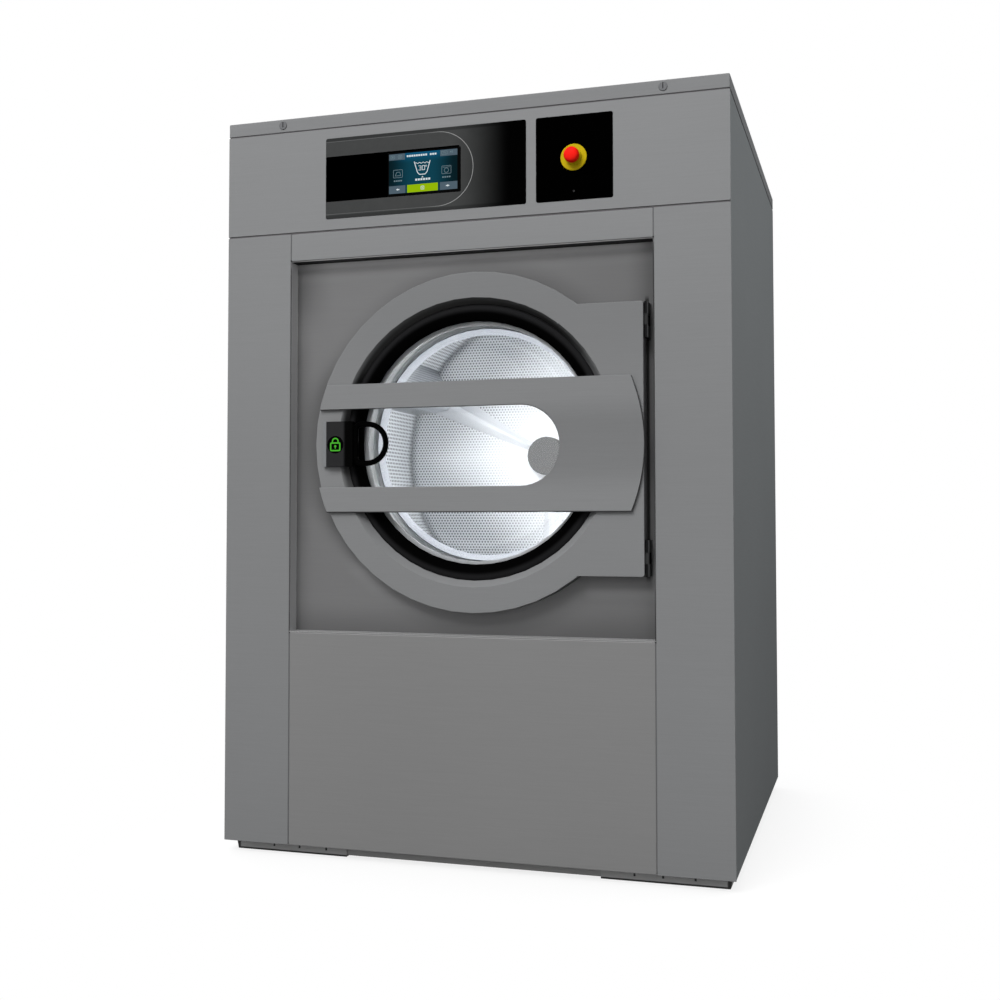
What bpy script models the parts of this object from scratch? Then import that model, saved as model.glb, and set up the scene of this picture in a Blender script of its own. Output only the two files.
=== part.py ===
"""Front-loading washer-extractor with a recessed round door, drawn in metres with +Z up.

X runs to the right as one faces the door, Y runs into the machine and Z is the height above the floor.
The sprung group of tub, drum and motor hangs on four coil struts inside the closed sheet-metal cabinet.
"""
from math import asin, atan2, cos, hypot, pi, radians, sin, sqrt

import bmesh
import bpy
from mathutils import Matrix, Vector

# Cabinet sizes
CABINET_W = 1.100
BASE_H = 0.025
LID_H = 0.0285
FILLER_H = 0.0625
SERVICE_H = 0.453
RECESS_D = 0.030
RECESS_MARGIN = 0.04875
REAR_INSET = 0.030
REAR_DEPTH = 0.025
REAR_SPACE = 0.1208

# Control panels, measured from the lower edge of the fascia
PANEL_BELOW = 0.024
PANEL_H = 0.175
PANEL_ABOVE = 0.025
PANEL_PROUD = 0.0008

# Sheet metal and fits
SHEET = 0.002
RETURN = 0.025
SEAM = 0.003
EDGE_R = 0.0025
FIT = 0.0003
OVERRUN = 0.010

# Flats round the circles of each group, so that pieces which fit together share their corners
DOOR_ROUND = 48
DRUM_ROUND = 40
TUB_ROUND = 36
SHAFT_ROUND = 24
SMALL_ROUND = 12

# Door sizes; each width is added outside the one before it
DOOR_OFFSET = 0.021
GLASS_R = 0.253
BEZEL_W = 0.033
LIP_W = 0.013
RING_W = 0.0535
FLANGE_OUT = 0.004
FLANGE_HALF_H = 0.2738
DOOR_PROUD = 0.010
DOOR_WALL = 0.003
DOOR_SWEEP_GAP = 0.002
HINGE_STEP = 0.005
HINGE_IN = 0.006
HINGE_BELOW = 0.0368
HINGE_GAP = 0.0155

# Drum, tub and drive sizes
DRUM_R = 0.378
DRUM_FRONT = 0.100
DRUM_LEN = 0.520
MOUTH_STEP = 0.017
TUB_SPACE = 0.052
TUB_ABOVE = 0.03375
TUB_FRONT_SPACE = 0.038
TUB_BACK_SPACE = 0.030
TUB_WALL = 0.004
HOUSING_LEN = 0.110
SHAFT_R = 0.030
SHAFT_TAIL = 0.032
PULLEY_R = 0.190
PULLEY_SPACE = 0.015
MOTOR_PULLEY_R = 0.045
MOTOR_DROP = 0.19925
BELT_W = 0.028

# Emergency stop sizes
STOP_COLLAR_R = 0.0275
STOP_COLLAR_T = 0.002
STOP_HUB_R = 0.0175
STOP_HUB_T = 0.006
STOP_STEM_R = 0.008
STOP_TRAVEL = 0.004
STOP_GAP = 0.0006
STOP_HEAD_R = 0.016
STOP_HEAD_L = 0.0173

# Radii that follow from the sizes above
LIP_INNER_R = GLASS_R + BEZEL_W
LIP_OUTER_R = LIP_INNER_R + LIP_W
DOOR_R = LIP_OUTER_R + RING_W
FLANGE_REACH = DOOR_R + FLANGE_OUT
MOUTH_R = GLASS_R - MOUTH_STEP
TUB_R = DRUM_R + TUB_SPACE

# Depths behind the front that follow from the drum and its drive
DRUM_BACK = DRUM_FRONT + DRUM_LEN
TUB_FRONT = DRUM_FRONT - TUB_FRONT_SPACE
TUB_BACK = DRUM_BACK + TUB_BACK_SPACE
HOUSING_BACK = TUB_BACK + HOUSING_LEN
PULLEY_FRONT = HOUSING_BACK + PULLEY_SPACE
SHAFT_END = PULLEY_FRONT + BELT_W + SHAFT_TAIL
CABINET_D = SHAFT_END + REAR_SPACE + REAR_DEPTH + REAR_INSET

# Heights; the recess clears the door below the filler panel, and the tub clears the fascia
RECESS_HALF_H = max(DOOR_R + RECESS_MARGIN, TUB_R + TUB_ABOVE - FILLER_H)
BODY_Z = BASE_H
SERVICE_Z = BODY_Z + SERVICE_H
DOOR_Z = SERVICE_Z + RECESS_HALF_H
FILLER_Z = DOOR_Z + RECESS_HALF_H
FASCIA_Z = FILLER_Z + FILLER_H
PANEL_Z = (FASCIA_Z + PANEL_BELOW, FASCIA_Z + PANEL_BELOW + PANEL_H)
LID_Z = PANEL_Z[1] + PANEL_ABOVE
TOP_Z = LID_Z + LID_H
TUB_BOTTOM = DOOR_Z - TUB_R
MOTOR_Z = TUB_BOTTOM - MOTOR_DROP

# Planes and centres that the pieces share
HALF_W = CABINET_W / 2
STOP_REACH = PANEL_PROUD + FIT + STOP_COLLAR_T + STOP_HUB_T + STOP_TRAVEL + STOP_GAP + STOP_HEAD_L
FRONT_Y = (STOP_REACH - CABINET_D) / 2
BACK_Y = FRONT_Y + CABINET_D
REAR_Y = BACK_Y - REAR_INSET
DOOR_C = (DOOR_OFFSET, DOOR_Z)
MOTOR_C = (DOOR_OFFSET, MOTOR_Z)
HINGE_X = DOOR_OFFSET + FLANGE_REACH + HINGE_STEP
HINGE_Y = FRONT_Y - DOOR_PROUD + HINGE_IN
RECESS_X = HINGE_X + HINGE_GAP

# Colour, roughness and metallic value of each finish
FINISHES = {
    "painted": ((0.26, 0.26, 0.26), 0.45, 0.35),
    "painted_dark": ((0.10, 0.10, 0.10), 0.50, 0.30),
    "steel": ((0.62, 0.63, 0.64), 0.28, 1.0),
    "zinc": ((0.45, 0.46, 0.47), 0.40, 1.0),
    "iron": ((0.12, 0.13, 0.14), 0.60, 0.6),
    "aluminium": ((0.55, 0.56, 0.57), 0.40, 1.0),
    "brass": ((0.60, 0.42, 0.16), 0.35, 1.0),
    "black": ((0.012, 0.012, 0.013), 0.45, 0.0),
    "gloss_black": ((0.008, 0.008, 0.009), 0.12, 0.0),
    "rubber": ((0.010, 0.010, 0.011), 0.65, 0.0),
    "glass": ((0.90, 0.94, 0.96), 0.03, 0.0),
    "screen": ((0.01, 0.09, 0.13), 0.15, 0.0),
    "yellow": ((0.55, 0.42, 0.01), 0.40, 0.0),
    "red": ((0.80, 0.03, 0.02), 0.30, 0.0),
}


def clear_scene():
    for obj in list(bpy.data.objects):
        bpy.data.objects.remove(obj, do_unlink=True)


def material(name, finish):
    colour, roughness, metallic = FINISHES[finish]
    mat = bpy.data.materials.new(name)
    mat.use_nodes = True
    shader = mat.node_tree.nodes["Principled BSDF"]
    shader.inputs["Base Color"].default_value = (*colour, 1)
    shader.inputs["Roughness"].default_value = roughness
    shader.inputs["Metallic"].default_value = metallic
    if finish == "glass":
        shader.inputs["Transmission Weight"].default_value = 1
    return mat


def add(name, bm, finish, origin=(0, 0, 0)):
    """Puts the mesh into the scene as a named object whose origin is at the given point."""
    bmesh.ops.recalc_face_normals(bm, faces=bm.faces)
    bmesh.ops.translate(bm, verts=bm.verts, vec=-Vector(origin))
    mesh = bpy.data.meshes.new(name)
    bm.to_mesh(mesh)
    bm.free()
    mesh.shade_smooth()
    mesh.set_sharp_from_angle(angle=radians(30))
    mesh.materials.append(material(name, finish))
    obj = bpy.data.objects.new(name, mesh)
    obj.location = origin
    bpy.context.scene.collection.objects.link(obj)
    return obj


def combine(obj, tool, operation):
    """Joins a hidden tool to the object, or cuts it away."""
    tool.hide_render = True
    tool.display_type = "WIRE"
    tool.name = "tool_" + tool.name
    mod = obj.modifiers.new(operation.lower(), "BOOLEAN")
    mod.operation = operation
    mod.object = tool
    mod.solver = "EXACT"


def cut(obj, *tools):
    for tool in tools:
        combine(obj, tool, "DIFFERENCE")


def fuse(obj, *tools):
    for tool in tools:
        combine(obj, tool, "UNION")


def round_edges(obj, width, segments=2, angle=40):
    mod = obj.modifiers.new("round edges", "BEVEL")
    mod.width = width
    mod.segments = segments
    mod.limit_method = "ANGLE"
    mod.angle_limit = radians(angle)


def thicken(obj, wall):
    """Gives an open surface a wall on its inner side."""
    mod = obj.modifiers.new("wall", "SOLIDIFY")
    mod.thickness = wall
    mod.offset = -1
    mod.use_even_offset = True


def block_mesh(x, y, z):
    """A box between the two values of x, of y and of z."""
    bm = bmesh.new()
    bmesh.ops.create_cube(bm, size=1)
    size = Matrix.Diagonal((x[1] - x[0], y[1] - y[0], z[1] - z[0], 1))
    centre = Matrix.Translation(((x[0] + x[1]) / 2, (y[0] + y[1]) / 2, (z[0] + z[1]) / 2))
    bmesh.ops.transform(bm, matrix=centre @ size, verts=bm.verts)
    return bm


def block(name, finish, x, y, z, origin=(0, 0, 0)):
    return add(name, block_mesh(x, y, z), finish, origin)


def pan(name, finish, x, y, z, open_side, wall=SHEET, radius=EDGE_R, origin=(0, 0, 0)):
    """A folded sheet pan: a box with one open side, rounded folds and an even wall."""
    bm = block_mesh(x, y, z)
    direction = Vector(open_side)
    face = max(bm.faces, key=lambda side: side.calc_center_median().dot(direction))
    bmesh.ops.delete(bm, geom=[face], context="FACES_ONLY")
    obj = add(name, bm, finish, origin)
    round_edges(obj, radius)
    thicken(obj, wall)
    return obj


def prism(name, finish, outline, axis, span, origin=(0, 0, 0)):
    """Extrudes a flat outline along X, Y or Z between the two values of span."""
    place = {
        "X": lambda a, b: (span[0], a, b),
        "Y": lambda a, b: (a, span[0], b),
        "Z": lambda a, b: (a, b, span[0]),
    }[axis]
    along = {"X": (1, 0, 0), "Y": (0, 1, 0), "Z": (0, 0, 1)}[axis]
    bm = bmesh.new()
    face = bm.faces.new([bm.verts.new(place(a, b)) for a, b in outline])
    grown = bmesh.ops.extrude_face_region(bm, geom=[face])
    moved = [item for item in grown["geom"] if isinstance(item, bmesh.types.BMVert)]
    bmesh.ops.translate(bm, verts=moved, vec=Vector(along) * (span[1] - span[0]))
    return add(name, bm, finish, origin)


def turned(name, finish, profile, centre, segments, closed=True, origin=(0, 0, 0)):
    """Turns a (radius, y) profile about the line along Y through centre (x, z)."""
    bm = bmesh.new()
    verts = [bm.verts.new((centre[0] + radius, y, centre[1])) for radius, y in profile]
    pairs = list(zip(verts, verts[1:]))
    if closed:
        pairs.append((verts[-1], verts[0]))
    edges = [bm.edges.new(pair) for pair in pairs]
    bmesh.ops.spin(
        bm, geom=verts + edges, cent=(centre[0], 0, centre[1]), axis=(0, 1, 0),
        angle=2 * pi, steps=segments, use_merge=True,
    )
    bmesh.ops.remove_doubles(bm, verts=bm.verts, dist=FIT / 100)
    return add(name, bm, finish, origin)


def rod(name, finish, centre, radius, y, segments, origin=(0, 0, 0)):
    """A solid bar along Y."""
    profile = [(0, y[0]), (radius, y[0]), (radius, y[1]), (0, y[1])]
    return turned(name, finish, profile, centre, segments, closed=False, origin=origin)


def post(name, finish, centre, radius, z, segments, origin=(0, 0, 0)):
    """A solid bar along Z."""
    outline = arc(centre, radius, 0, 2 * pi * (1 - 1 / segments), segments - 1)
    return prism(name, finish, outline, "Z", z, origin)


def arc(centre, radius, start, end, steps):
    angles = [start + (end - start) * i / steps for i in range(steps + 1)]
    return [(centre[0] + radius * cos(angle), centre[1] + radius * sin(angle)) for angle in angles]


def rounded_rectangle(x, z, radius, steps=3):
    corners = (
        ((x[1] - radius, z[1] - radius), 0),
        ((x[0] + radius, z[1] - radius), pi / 2),
        ((x[0] + radius, z[0] + radius), pi),
        ((x[1] - radius, z[0] + radius), 3 * pi / 2),
    )
    points = []
    for centre, start in corners:
        points += arc(centre, radius, start, start + pi / 2, steps)
    return points


def chamfered_rectangle(x, y, chamfer):
    """A rectangle in plan with its corners cut at 45 degrees."""
    return [
        (x[0] + chamfer, y[0]), (x[1] - chamfer, y[0]), (x[1], y[0] + chamfer), (x[1], y[1] - chamfer),
        (x[1] - chamfer, y[1]), (x[0] + chamfer, y[1]), (x[0], y[1] - chamfer), (x[0], y[0] + chamfer),
    ]


def across(half, gap=0.0):
    """The span from -half to +half, drawn in by the gap at both ends."""
    return (-half + gap, half - gap)


def around(middle, half):
    return (middle - half, middle + half)


def grown(span, by):
    return (span[0] - by, span[1] + by)


def behind_front(*depths):
    """Y values of planes that lie the given depths behind the cabinet's front face."""
    return tuple(FRONT_Y + depth for depth in depths)


# Base frame and its corner shoes
SHOE_SETBACK_X = 0.010
SHOE_SETBACK_Y = 0.036
SHOE_IN_X = 0.277
SHOE_T = 0.0037
SHOE_SOLE = 0.0027
SHOE_LEN = 0.110
SHOE_SLOPE = 0.005
SHOE_CHAMFER = 0.0015
RAIL_W = 0.110
RAIL_WALL = 0.003
BASE_BACK_GAP = 0.026
STRUT_INSET = 0.085
STRUT_IN_FRONT = 0.178
STRUT_BEHIND = 0.070
DAMPER_R = 0.025
DAMPER_WALL = 0.004
DAMPER_TOP = 0.240

SHOE_X = HALF_W - SHOE_SETBACK_X
FRAME_X = SHOE_X - SHOE_SLOPE - SHOE_T
FRAME_Y = (FRONT_Y + SHOE_SETBACK_Y + SHOE_T, BACK_Y - BASE_BACK_GAP)
FRAME_Z = (SHOE_SOLE + FIT, BASE_H - FIT)
STRUT_X = HALF_W - STRUT_INSET
STRUT_DEPTHS = (TUB_FRONT + STRUT_IN_FRONT, TUB_BACK + STRUT_BEHIND)
STRUTS = [(side * STRUT_X, FRONT_Y + depth) for depth in STRUT_DEPTHS for side in (-1, 1)]


def base_frame():
    """A channel ring open below, with four damper tubes welded on top."""
    outer = chamfered_rectangle(across(FRAME_X), FRAME_Y, SHOE_CHAMFER)
    frame = prism("base_frame", "painted_dark", outer, "Z", FRAME_Z)
    for x, y in STRUTS:
        tube_z = (FRAME_Z[1] - RAIL_WALL / 2, DAMPER_TOP)
        fuse(frame, post(f"damper_{x}_{y}", "iron", (x, y), DAMPER_R, tube_z, SMALL_ROUND))
    inner_x = across(FRAME_X - RAIL_W)
    inner_y = grown(FRAME_Y, -RAIL_W)
    cut(frame, block("frame_opening", "iron", inner_x, inner_y, grown(FRAME_Z, OVERRUN)))
    under_z = (FRAME_Z[0] - OVERRUN, FRAME_Z[1] - RAIL_WALL)
    under_x = across(FRAME_X - RAIL_WALL)
    under_outline = chamfered_rectangle(under_x, grown(FRAME_Y, -RAIL_WALL), SHOE_CHAMFER)
    under = prism("channel", "iron", under_outline, "Z", under_z)
    web_x, web_y = grown(inner_x, RAIL_WALL), grown(inner_y, RAIL_WALL)
    cut(under, block("channel_web", "iron", web_x, web_y, grown(under_z, OVERRUN)))
    cut(frame, under)
    for x, y in STRUTS:
        bore_z = (BASE_H, DAMPER_TOP + OVERRUN)
        cut(frame, post(f"damper_bore_{x}_{y}", "iron", (x, y), DAMPER_R - DAMPER_WALL, bore_z, SMALL_ROUND))


def foot_shoe(name, side, front):
    """A shoe round one corner of the base frame, which stands on its sole and slopes in towards it."""
    outer_y = (FRONT_Y + SHOE_SETBACK_Y, FRONT_Y + SHOE_SETBACK_Y + SHOE_T + SHOE_LEN)
    outer_x = (SHOE_IN_X, SHOE_X)
    inner_x = (SHOE_IN_X - OVERRUN, FRAME_X + FIT)
    inner_y = (outer_y[0] + SHOE_T - FIT, outer_y[1] + OVERRUN)

    def corner(x, y):
        points = [(x[0], y[0]), (x[1] - SHOE_CHAMFER, y[0]), (x[1], y[0] + SHOE_CHAMFER)]
        points += [(x[1], y[1]), (x[0], y[1])]
        return [(side * a, b if front else FRAME_Y[0] + FRAME_Y[1] - b) for a, b in points]

    shoe = prism(name, "painted_dark", corner(outer_x, outer_y), "Z", (0, BASE_H - FIT))
    for vert in shoe.data.vertices:
        if vert.co.z < FIT and abs(vert.co.x) > SHOE_X - SHOE_CHAMFER - FIT:
            vert.co.x -= side * SHOE_SLOPE
    hollow = prism("shoe_hollow", "iron", corner(inner_x, inner_y), "Z", (SHOE_SOLE, BASE_H + OVERRUN))
    cut(shoe, hollow)


# Cabinet panels
LOUVRE_W = 0.130
LOUVRE_H = 0.012
LOUVRE_PITCH = 0.034
LOUVRE_ROWS = 4
LOUVRE_X = 0.220
LOUVRE_DROP = 0.4155
TOUCH_X = (-0.315, 0.134)
STOP_X = (0.1554, 0.3158)
PANEL_R = 0.004
LOCK_INSET = 0.132
LOCK_RISE = 0.0144
LOCK_R = 0.009
LOCK_SHAFT_R = 0.007
LOCK_FLANGE = 0.0015
LOCK_SLOT_W = 0.0024
LOCK_SLOT_D = 0.0010
LOCK_TONGUE_W = 0.012
LOCK_TONGUE_L = 0.016
LOCK_TONGUE_T = 0.003
LOCK_BARREL = 0.0103
KEEPER_GAP = 0.0015
KEEPER_L = 0.0105
LOCK_X = HALF_W - LOCK_INSET
LOCK_Z = LID_Z + LOCK_RISE
LOCK_C = ((-LOCK_X, LOCK_Z), (LOCK_X, LOCK_Z))
BODY_Z0 = BODY_Z + FIT

INLET_X = (-0.320, -0.230)
INLET_DROP = 0.1755
INLET_R = 0.0132
GLAND_X = 0.330
GLAND_R = 0.013
DRAIN_X = 0.160
DRAIN_Z = 0.130
DRAIN_R = 0.038
LOUVRE_Z = TOP_Z - LOUVRE_DROP
INLET_Z = TOP_Z - INLET_DROP


def side_panel(name, side):
    x = (HALF_W - RETURN, HALF_W) if side > 0 else (-HALF_W, RETURN - HALF_W)
    y = (FRONT_Y + SHEET + FIT, BACK_Y)
    pan(name, "painted", x, y, (BODY_Z0, LID_Z - SEAM), (-side, 0, 0))


def rear_panel():
    panel = pan(
        "rear_panel", "painted", across(HALF_W - RETURN, FIT), (REAR_Y - REAR_DEPTH, REAR_Y),
        (BODY_Z0, TOP_Z - SHEET - FIT), (0, -1, 0),
    )
    through = (REAR_Y - SHEET - OVERRUN, REAR_Y + OVERRUN)
    for side in (-1, 1):
        for row in range(LOUVRE_ROWS):
            centre = LOUVRE_Z + row * LOUVRE_PITCH
            x = around(side * LOUVRE_X, LOUVRE_W / 2)
            cut(panel, block(f"louvre_{side}_{row}", "iron", x, through, around(centre, LOUVRE_H / 2)))
    holes = [((x, INLET_Z), INLET_R) for x in INLET_X]
    holes += [((GLAND_X, INLET_Z), GLAND_R), ((DRAIN_X, DRAIN_Z), DRAIN_R)]
    for index, (centre, radius) in enumerate(holes):
        cut(panel, rod(f"rear_hole_{index}", "iron", centre, radius + FIT, through, SMALL_ROUND))


def control_fascia():
    """The control panel's front sheet with a folded return above and below, and two windows."""
    z = (FASCIA_Z, LID_Z - SEAM)
    fascia = block("control_fascia", "painted", across(HALF_W), behind_front(0, SHEET), z)
    round_edges(fascia, SHEET / 3, 1)
    back = behind_front(SHEET / 2, RETURN)
    inside = behind_front(SHEET / 2 - OVERRUN, RETURN + OVERRUN)
    channel_x = across(HALF_W - RETURN, FIT)
    channel = block("fascia_channel", "iron", channel_x, back, z)
    cut(channel, block("fascia_hollow", "iron", grown(channel_x, OVERRUN), inside, grown(z, -SHEET)))
    fuse(fascia, channel)
    for side in (-1, 1):
        near = LOCK_X + LOCK_SHAFT_R + KEEPER_GAP
        keeper_x = sorted((side * near, side * (near + KEEPER_L)))
        riser = LOCK_BARREL + LOCK_TONGUE_T + KEEPER_GAP
        under = LOCK_Z + LOCK_TONGUE_W / 2 + KEEPER_GAP
        riser_z = (z[1] - SHEET / 2, under + SHEET)
        fuse(fascia, block(f"keeper_{side}", "iron", keeper_x, behind_front(riser, riser + SHEET), riser_z))
        lip_y = behind_front(LOCK_BARREL - KEEPER_GAP, riser + SHEET / 2)
        fuse(fascia, block(f"keeper_lip_{side}", "iron", keeper_x, lip_y, (under, under + SHEET)))
    through = behind_front(-OVERRUN, SHEET + OVERRUN)
    for name, x in (("touch_window", TOUCH_X), ("stop_window", STOP_X)):
        window = rounded_rectangle(grown(x, FIT), grown(PANEL_Z, FIT), PANEL_R)
        cut(fascia, prism(name, "iron", window, "Y", through))


def upright(name, side):
    """A front panel beside the door: one sheet with a fold along the door side."""
    top = FASCIA_Z - SEAM
    x = sorted((side * RECESS_X, side * HALF_W))
    panel = block(name, "painted", x, behind_front(0, SHEET), (BODY_Z0, top))
    round_edges(panel, SHEET / 3, 1)
    fold_x = sorted((side * RECESS_X, side * (RECESS_X + SHEET)))
    fold_z = grown((BODY_Z0, top), -SHEET)
    fuse(panel, block(name + "_fold", "iron", fold_x, behind_front(SHEET / 2, RETURN), fold_z))


def front_panels():
    side_panel("side_panel_left", -1)
    side_panel("side_panel_right", 1)
    upright("upright_left", -1)
    upright("upright_right", 1)
    x = across(RECESS_X, SEAM / 2)
    depth = behind_front(0, RETURN)
    pan("filler_panel", "painted", x, depth, (FILLER_Z, FASCIA_Z - SEAM), (0, 1, 0))
    pan("service_panel", "painted", x, depth, (BODY_Z0, SERVICE_Z), (0, 1, 0))


def lid():
    """The top cover, a tray open below, whose origin is on its lifting edge at the rear."""
    axis = (0, BACK_Y, LID_Z)
    depth = (FRONT_Y, BACK_Y)
    cover = pan("top_lid", "painted", across(HALF_W), depth, (LID_Z, TOP_Z), (0, 0, -1), origin=axis)
    for index, centre in enumerate(LOCK_C):
        through = behind_front(-OVERRUN, SHEET + OVERRUN)
        cut(cover, rod(f"lock_hole_{index}", "iron", centre, LOCK_SHAFT_R + FIT, through, SMALL_ROUND))


def lid_lock(name, centre):
    """A quarter-turn lock: slotted head, barrel through the lid and a tongue that turns under the keeper."""
    origin = (centre[0], FRONT_Y, centre[1])
    back = LOCK_BARREL + LOCK_TONGUE_T
    profile = [
        (0, -LOCK_FLANGE - FIT), (LOCK_R - LOCK_FLANGE / 2, -LOCK_FLANGE - FIT),
        (LOCK_R, -LOCK_FLANGE / 2 - FIT), (LOCK_R, -FIT),
        (LOCK_SHAFT_R, -FIT), (LOCK_SHAFT_R, back), (0, back),
    ]
    profile = [(radius, FRONT_Y + depth) for radius, depth in profile]
    lock = turned(name, "steel", profile, centre, SMALL_ROUND, closed=False, origin=origin)
    x = around(centre[0], LOCK_TONGUE_W / 2)
    z = (centre[1] - LOCK_TONGUE_L, centre[1] + LOCK_TONGUE_W / 2)
    fuse(lock, block(name + "_tongue", "iron", x, behind_front(LOCK_BARREL, back + FIT), z))
    slot_x = around(centre[0], LOCK_SLOT_W / 2)
    slot_y = behind_front(-LOCK_FLANGE - OVERRUN, LOCK_SLOT_D - LOCK_FLANGE)
    slot_z = (centre[1] - LOCK_R / 2, centre[1] + LOCK_R + OVERRUN)
    cut(lock, block(name + "_slot", "iron", slot_x, slot_y, slot_z))


# Controls
DISPLAY_X = (-0.1705, -0.0075)
DISPLAY_BELOW = 0.037
DISPLAY_H = 0.0945
DISPLAY_T = 0.004
CONTROL_BOX_X = 0.330
CONTROL_BOX_BACK = 0.300
STOP_C = (0.235, (PANEL_Z[0] + PANEL_Z[1]) / 2)
STOP_BACK = 0.014
STOP_LEN = STOP_TRAVEL + STOP_GAP
# Shares of the mushroom head's radius and of its length from back to front
HEAD_SHARES = ((0.80, 0.0), (0.97, 0.12), (1.0, 0.35), (0.96, 0.66), (0.82, 0.88), (0.50, 0.98))
INDICATOR_BELOW = 0.0185
INDICATOR_R = 0.0022
INDICATOR_L = 0.006
INDICATOR_C = (STOP_C[0], PANEL_Z[0] + INDICATOR_BELOW)
DISPLAY_Z = (PANEL_Z[0] + DISPLAY_BELOW, PANEL_Z[0] + DISPLAY_BELOW + DISPLAY_H)


def touch_panel():
    depth = behind_front(-PANEL_PROUD, RETURN)
    panel = prism("touch_panel", "gloss_black", rounded_rectangle(TOUCH_X, PANEL_Z, PANEL_R), "Y", depth)
    pocket = rounded_rectangle(grown(DISPLAY_X, FIT), grown(DISPLAY_Z, FIT), PANEL_R / 2, 2)
    cut(panel, prism("display_pocket", "iron", pocket, "Y", behind_front(-PANEL_PROUD - OVERRUN, DISPLAY_T)))
    face = behind_front(-PANEL_PROUD, DISPLAY_T - FIT)
    prism("display", "screen", rounded_rectangle(DISPLAY_X, DISPLAY_Z, PANEL_R / 2, 2), "Y", face)


def stop_button():
    """The emergency stop: black panel, yellow collar, and a red head on a stem that is pressed in."""
    depth = behind_front(-PANEL_PROUD, RETURN)
    panel = prism("stop_panel", "gloss_black", rounded_rectangle(STOP_X, PANEL_Z, PANEL_R), "Y", depth)
    bore_y = behind_front(-PANEL_PROUD - OVERRUN, STOP_BACK + STOP_TRAVEL + FIT)
    cut(panel, rod("stop_bore", "iron", STOP_C, STOP_STEM_R + FIT, bore_y, SMALL_ROUND))
    lens_y = behind_front(-PANEL_PROUD - FIT, INDICATOR_L)
    cut(panel, rod("indicator_bore", "iron", INDICATOR_C, INDICATOR_R + FIT, grown(lens_y, OVERRUN / 4), 12))
    rod("indicator_lens", "black", INDICATOR_C, INDICATOR_R, lens_y, 12)

    base = -PANEL_PROUD - FIT
    step = base - STOP_COLLAR_T
    nose = step - STOP_HUB_T
    soft = STOP_COLLAR_T / 3
    bore = STOP_STEM_R + FIT
    collar = [
        (bore, base), (STOP_COLLAR_R, base), (STOP_COLLAR_R, step + soft), (STOP_COLLAR_R - soft, step),
        (STOP_HUB_R, step), (STOP_HUB_R - soft, nose), (bore, nose),
    ]
    turned("stop_collar", "yellow", [(r, FRONT_Y + d) for r, d in collar], STOP_C, SHAFT_ROUND)

    head_back = nose - STOP_LEN
    head_front = head_back - STOP_HEAD_L
    socket = head_back - STOP_HEAD_L / 2
    origin = (STOP_C[0], FRONT_Y, STOP_C[1])
    stem_y = behind_front(socket + FIT, STOP_BACK)
    rod("stop_stem", "black", STOP_C, STOP_STEM_R, stem_y, SMALL_ROUND, origin=origin)
    head = [(0, socket), (bore, socket), (bore, head_back)]
    for radius_share, depth_share in HEAD_SHARES:
        head.append((STOP_HEAD_R * radius_share, head_back + (head_front - head_back) * depth_share))
    head.append((0, head_front))
    head = [(radius, FRONT_Y + depth) for radius, depth in head]
    turned("stop_head", "red", head, STOP_C, SHAFT_ROUND, closed=False, origin=origin)


def control_box():
    """The housing of the control electronics behind the fascia, which also carries the lid."""
    depth = behind_front(RETURN + FIT, CONTROL_BOX_BACK)
    pan("control_box", "zinc", across(CONTROL_BOX_X), depth, (FASCIA_Z, TOP_Z - SHEET - FIT), (0, 1, 0))


# Door opening in the cabinet
OPENING_STEP = 0.004
SEAL_LIP_IN = 0.006
SEAL_BEND_OUT = 0.006
SEAL_NECK_OUT = 0.014
SEAL_FOOT_STEP = 0.010
SEAL_T = 0.005
LATCH_IN = 0.0302
LATCH_PIN_IN = 0.0113
LATCH_PIN_R = 0.007
LOCK_BORE_R = 0.012
LOCK_CASE_X = 0.080
LOCK_CASE_Z = 0.078
LOCK_CASE_D = 0.0235
LOCK_BORE_D = 0.016
OPENING_R = LIP_INNER_R + OPENING_STEP
SEAL_FOOT_R = OPENING_R + SEAL_FOOT_STEP
LATCH_LEFT = DOOR_OFFSET - DOOR_R + LATCH_IN
LATCH_PIN_C = (LATCH_LEFT + LATCH_PIN_IN, DOOR_Z)


def door_surround():
    """The recessed panel that the door closes against, a pan open to the front with a round opening."""
    depth = behind_front(FIT, RECESS_D + SHEET)
    z = grown((SERVICE_Z, FILLER_Z), -FIT)
    panel = pan("door_surround", "painted", across(RECESS_X, FIT), depth, z, (0, -1, 0))
    through = behind_front(RECESS_D - OVERRUN, RECESS_D + SHEET + OVERRUN)
    cut(panel, rod("round_opening", "iron", DOOR_C, OPENING_R, through, DOOR_ROUND))
    cut(panel, rod("lock_opening", "iron", LATCH_PIN_C, LOCK_BORE_R, through, SMALL_ROUND))


def door_seal():
    """The rubber ring clamped behind the opening, with a lip that the glass closes on."""
    foot = RECESS_D + SHEET + FIT
    lip = GLASS_RIM_BACK + FIT
    inner = GLASS_R - SEAL_LIP_IN
    bend = GLASS_R + SEAL_BEND_OUT
    neck = GLASS_R + SEAL_NECK_OUT
    profile = [
        (inner, lip), (bend, lip), (neck, foot), (SEAL_FOOT_R, foot),
        (SEAL_FOOT_R, foot + SEAL_T), (neck, foot + SEAL_T), (bend, lip + SEAL_T), (inner, lip + SEAL_T),
    ]
    turned("door_seal", "rubber", [(r, FRONT_Y + d) for r, d in profile], DOOR_C, TUB_ROUND)


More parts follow.
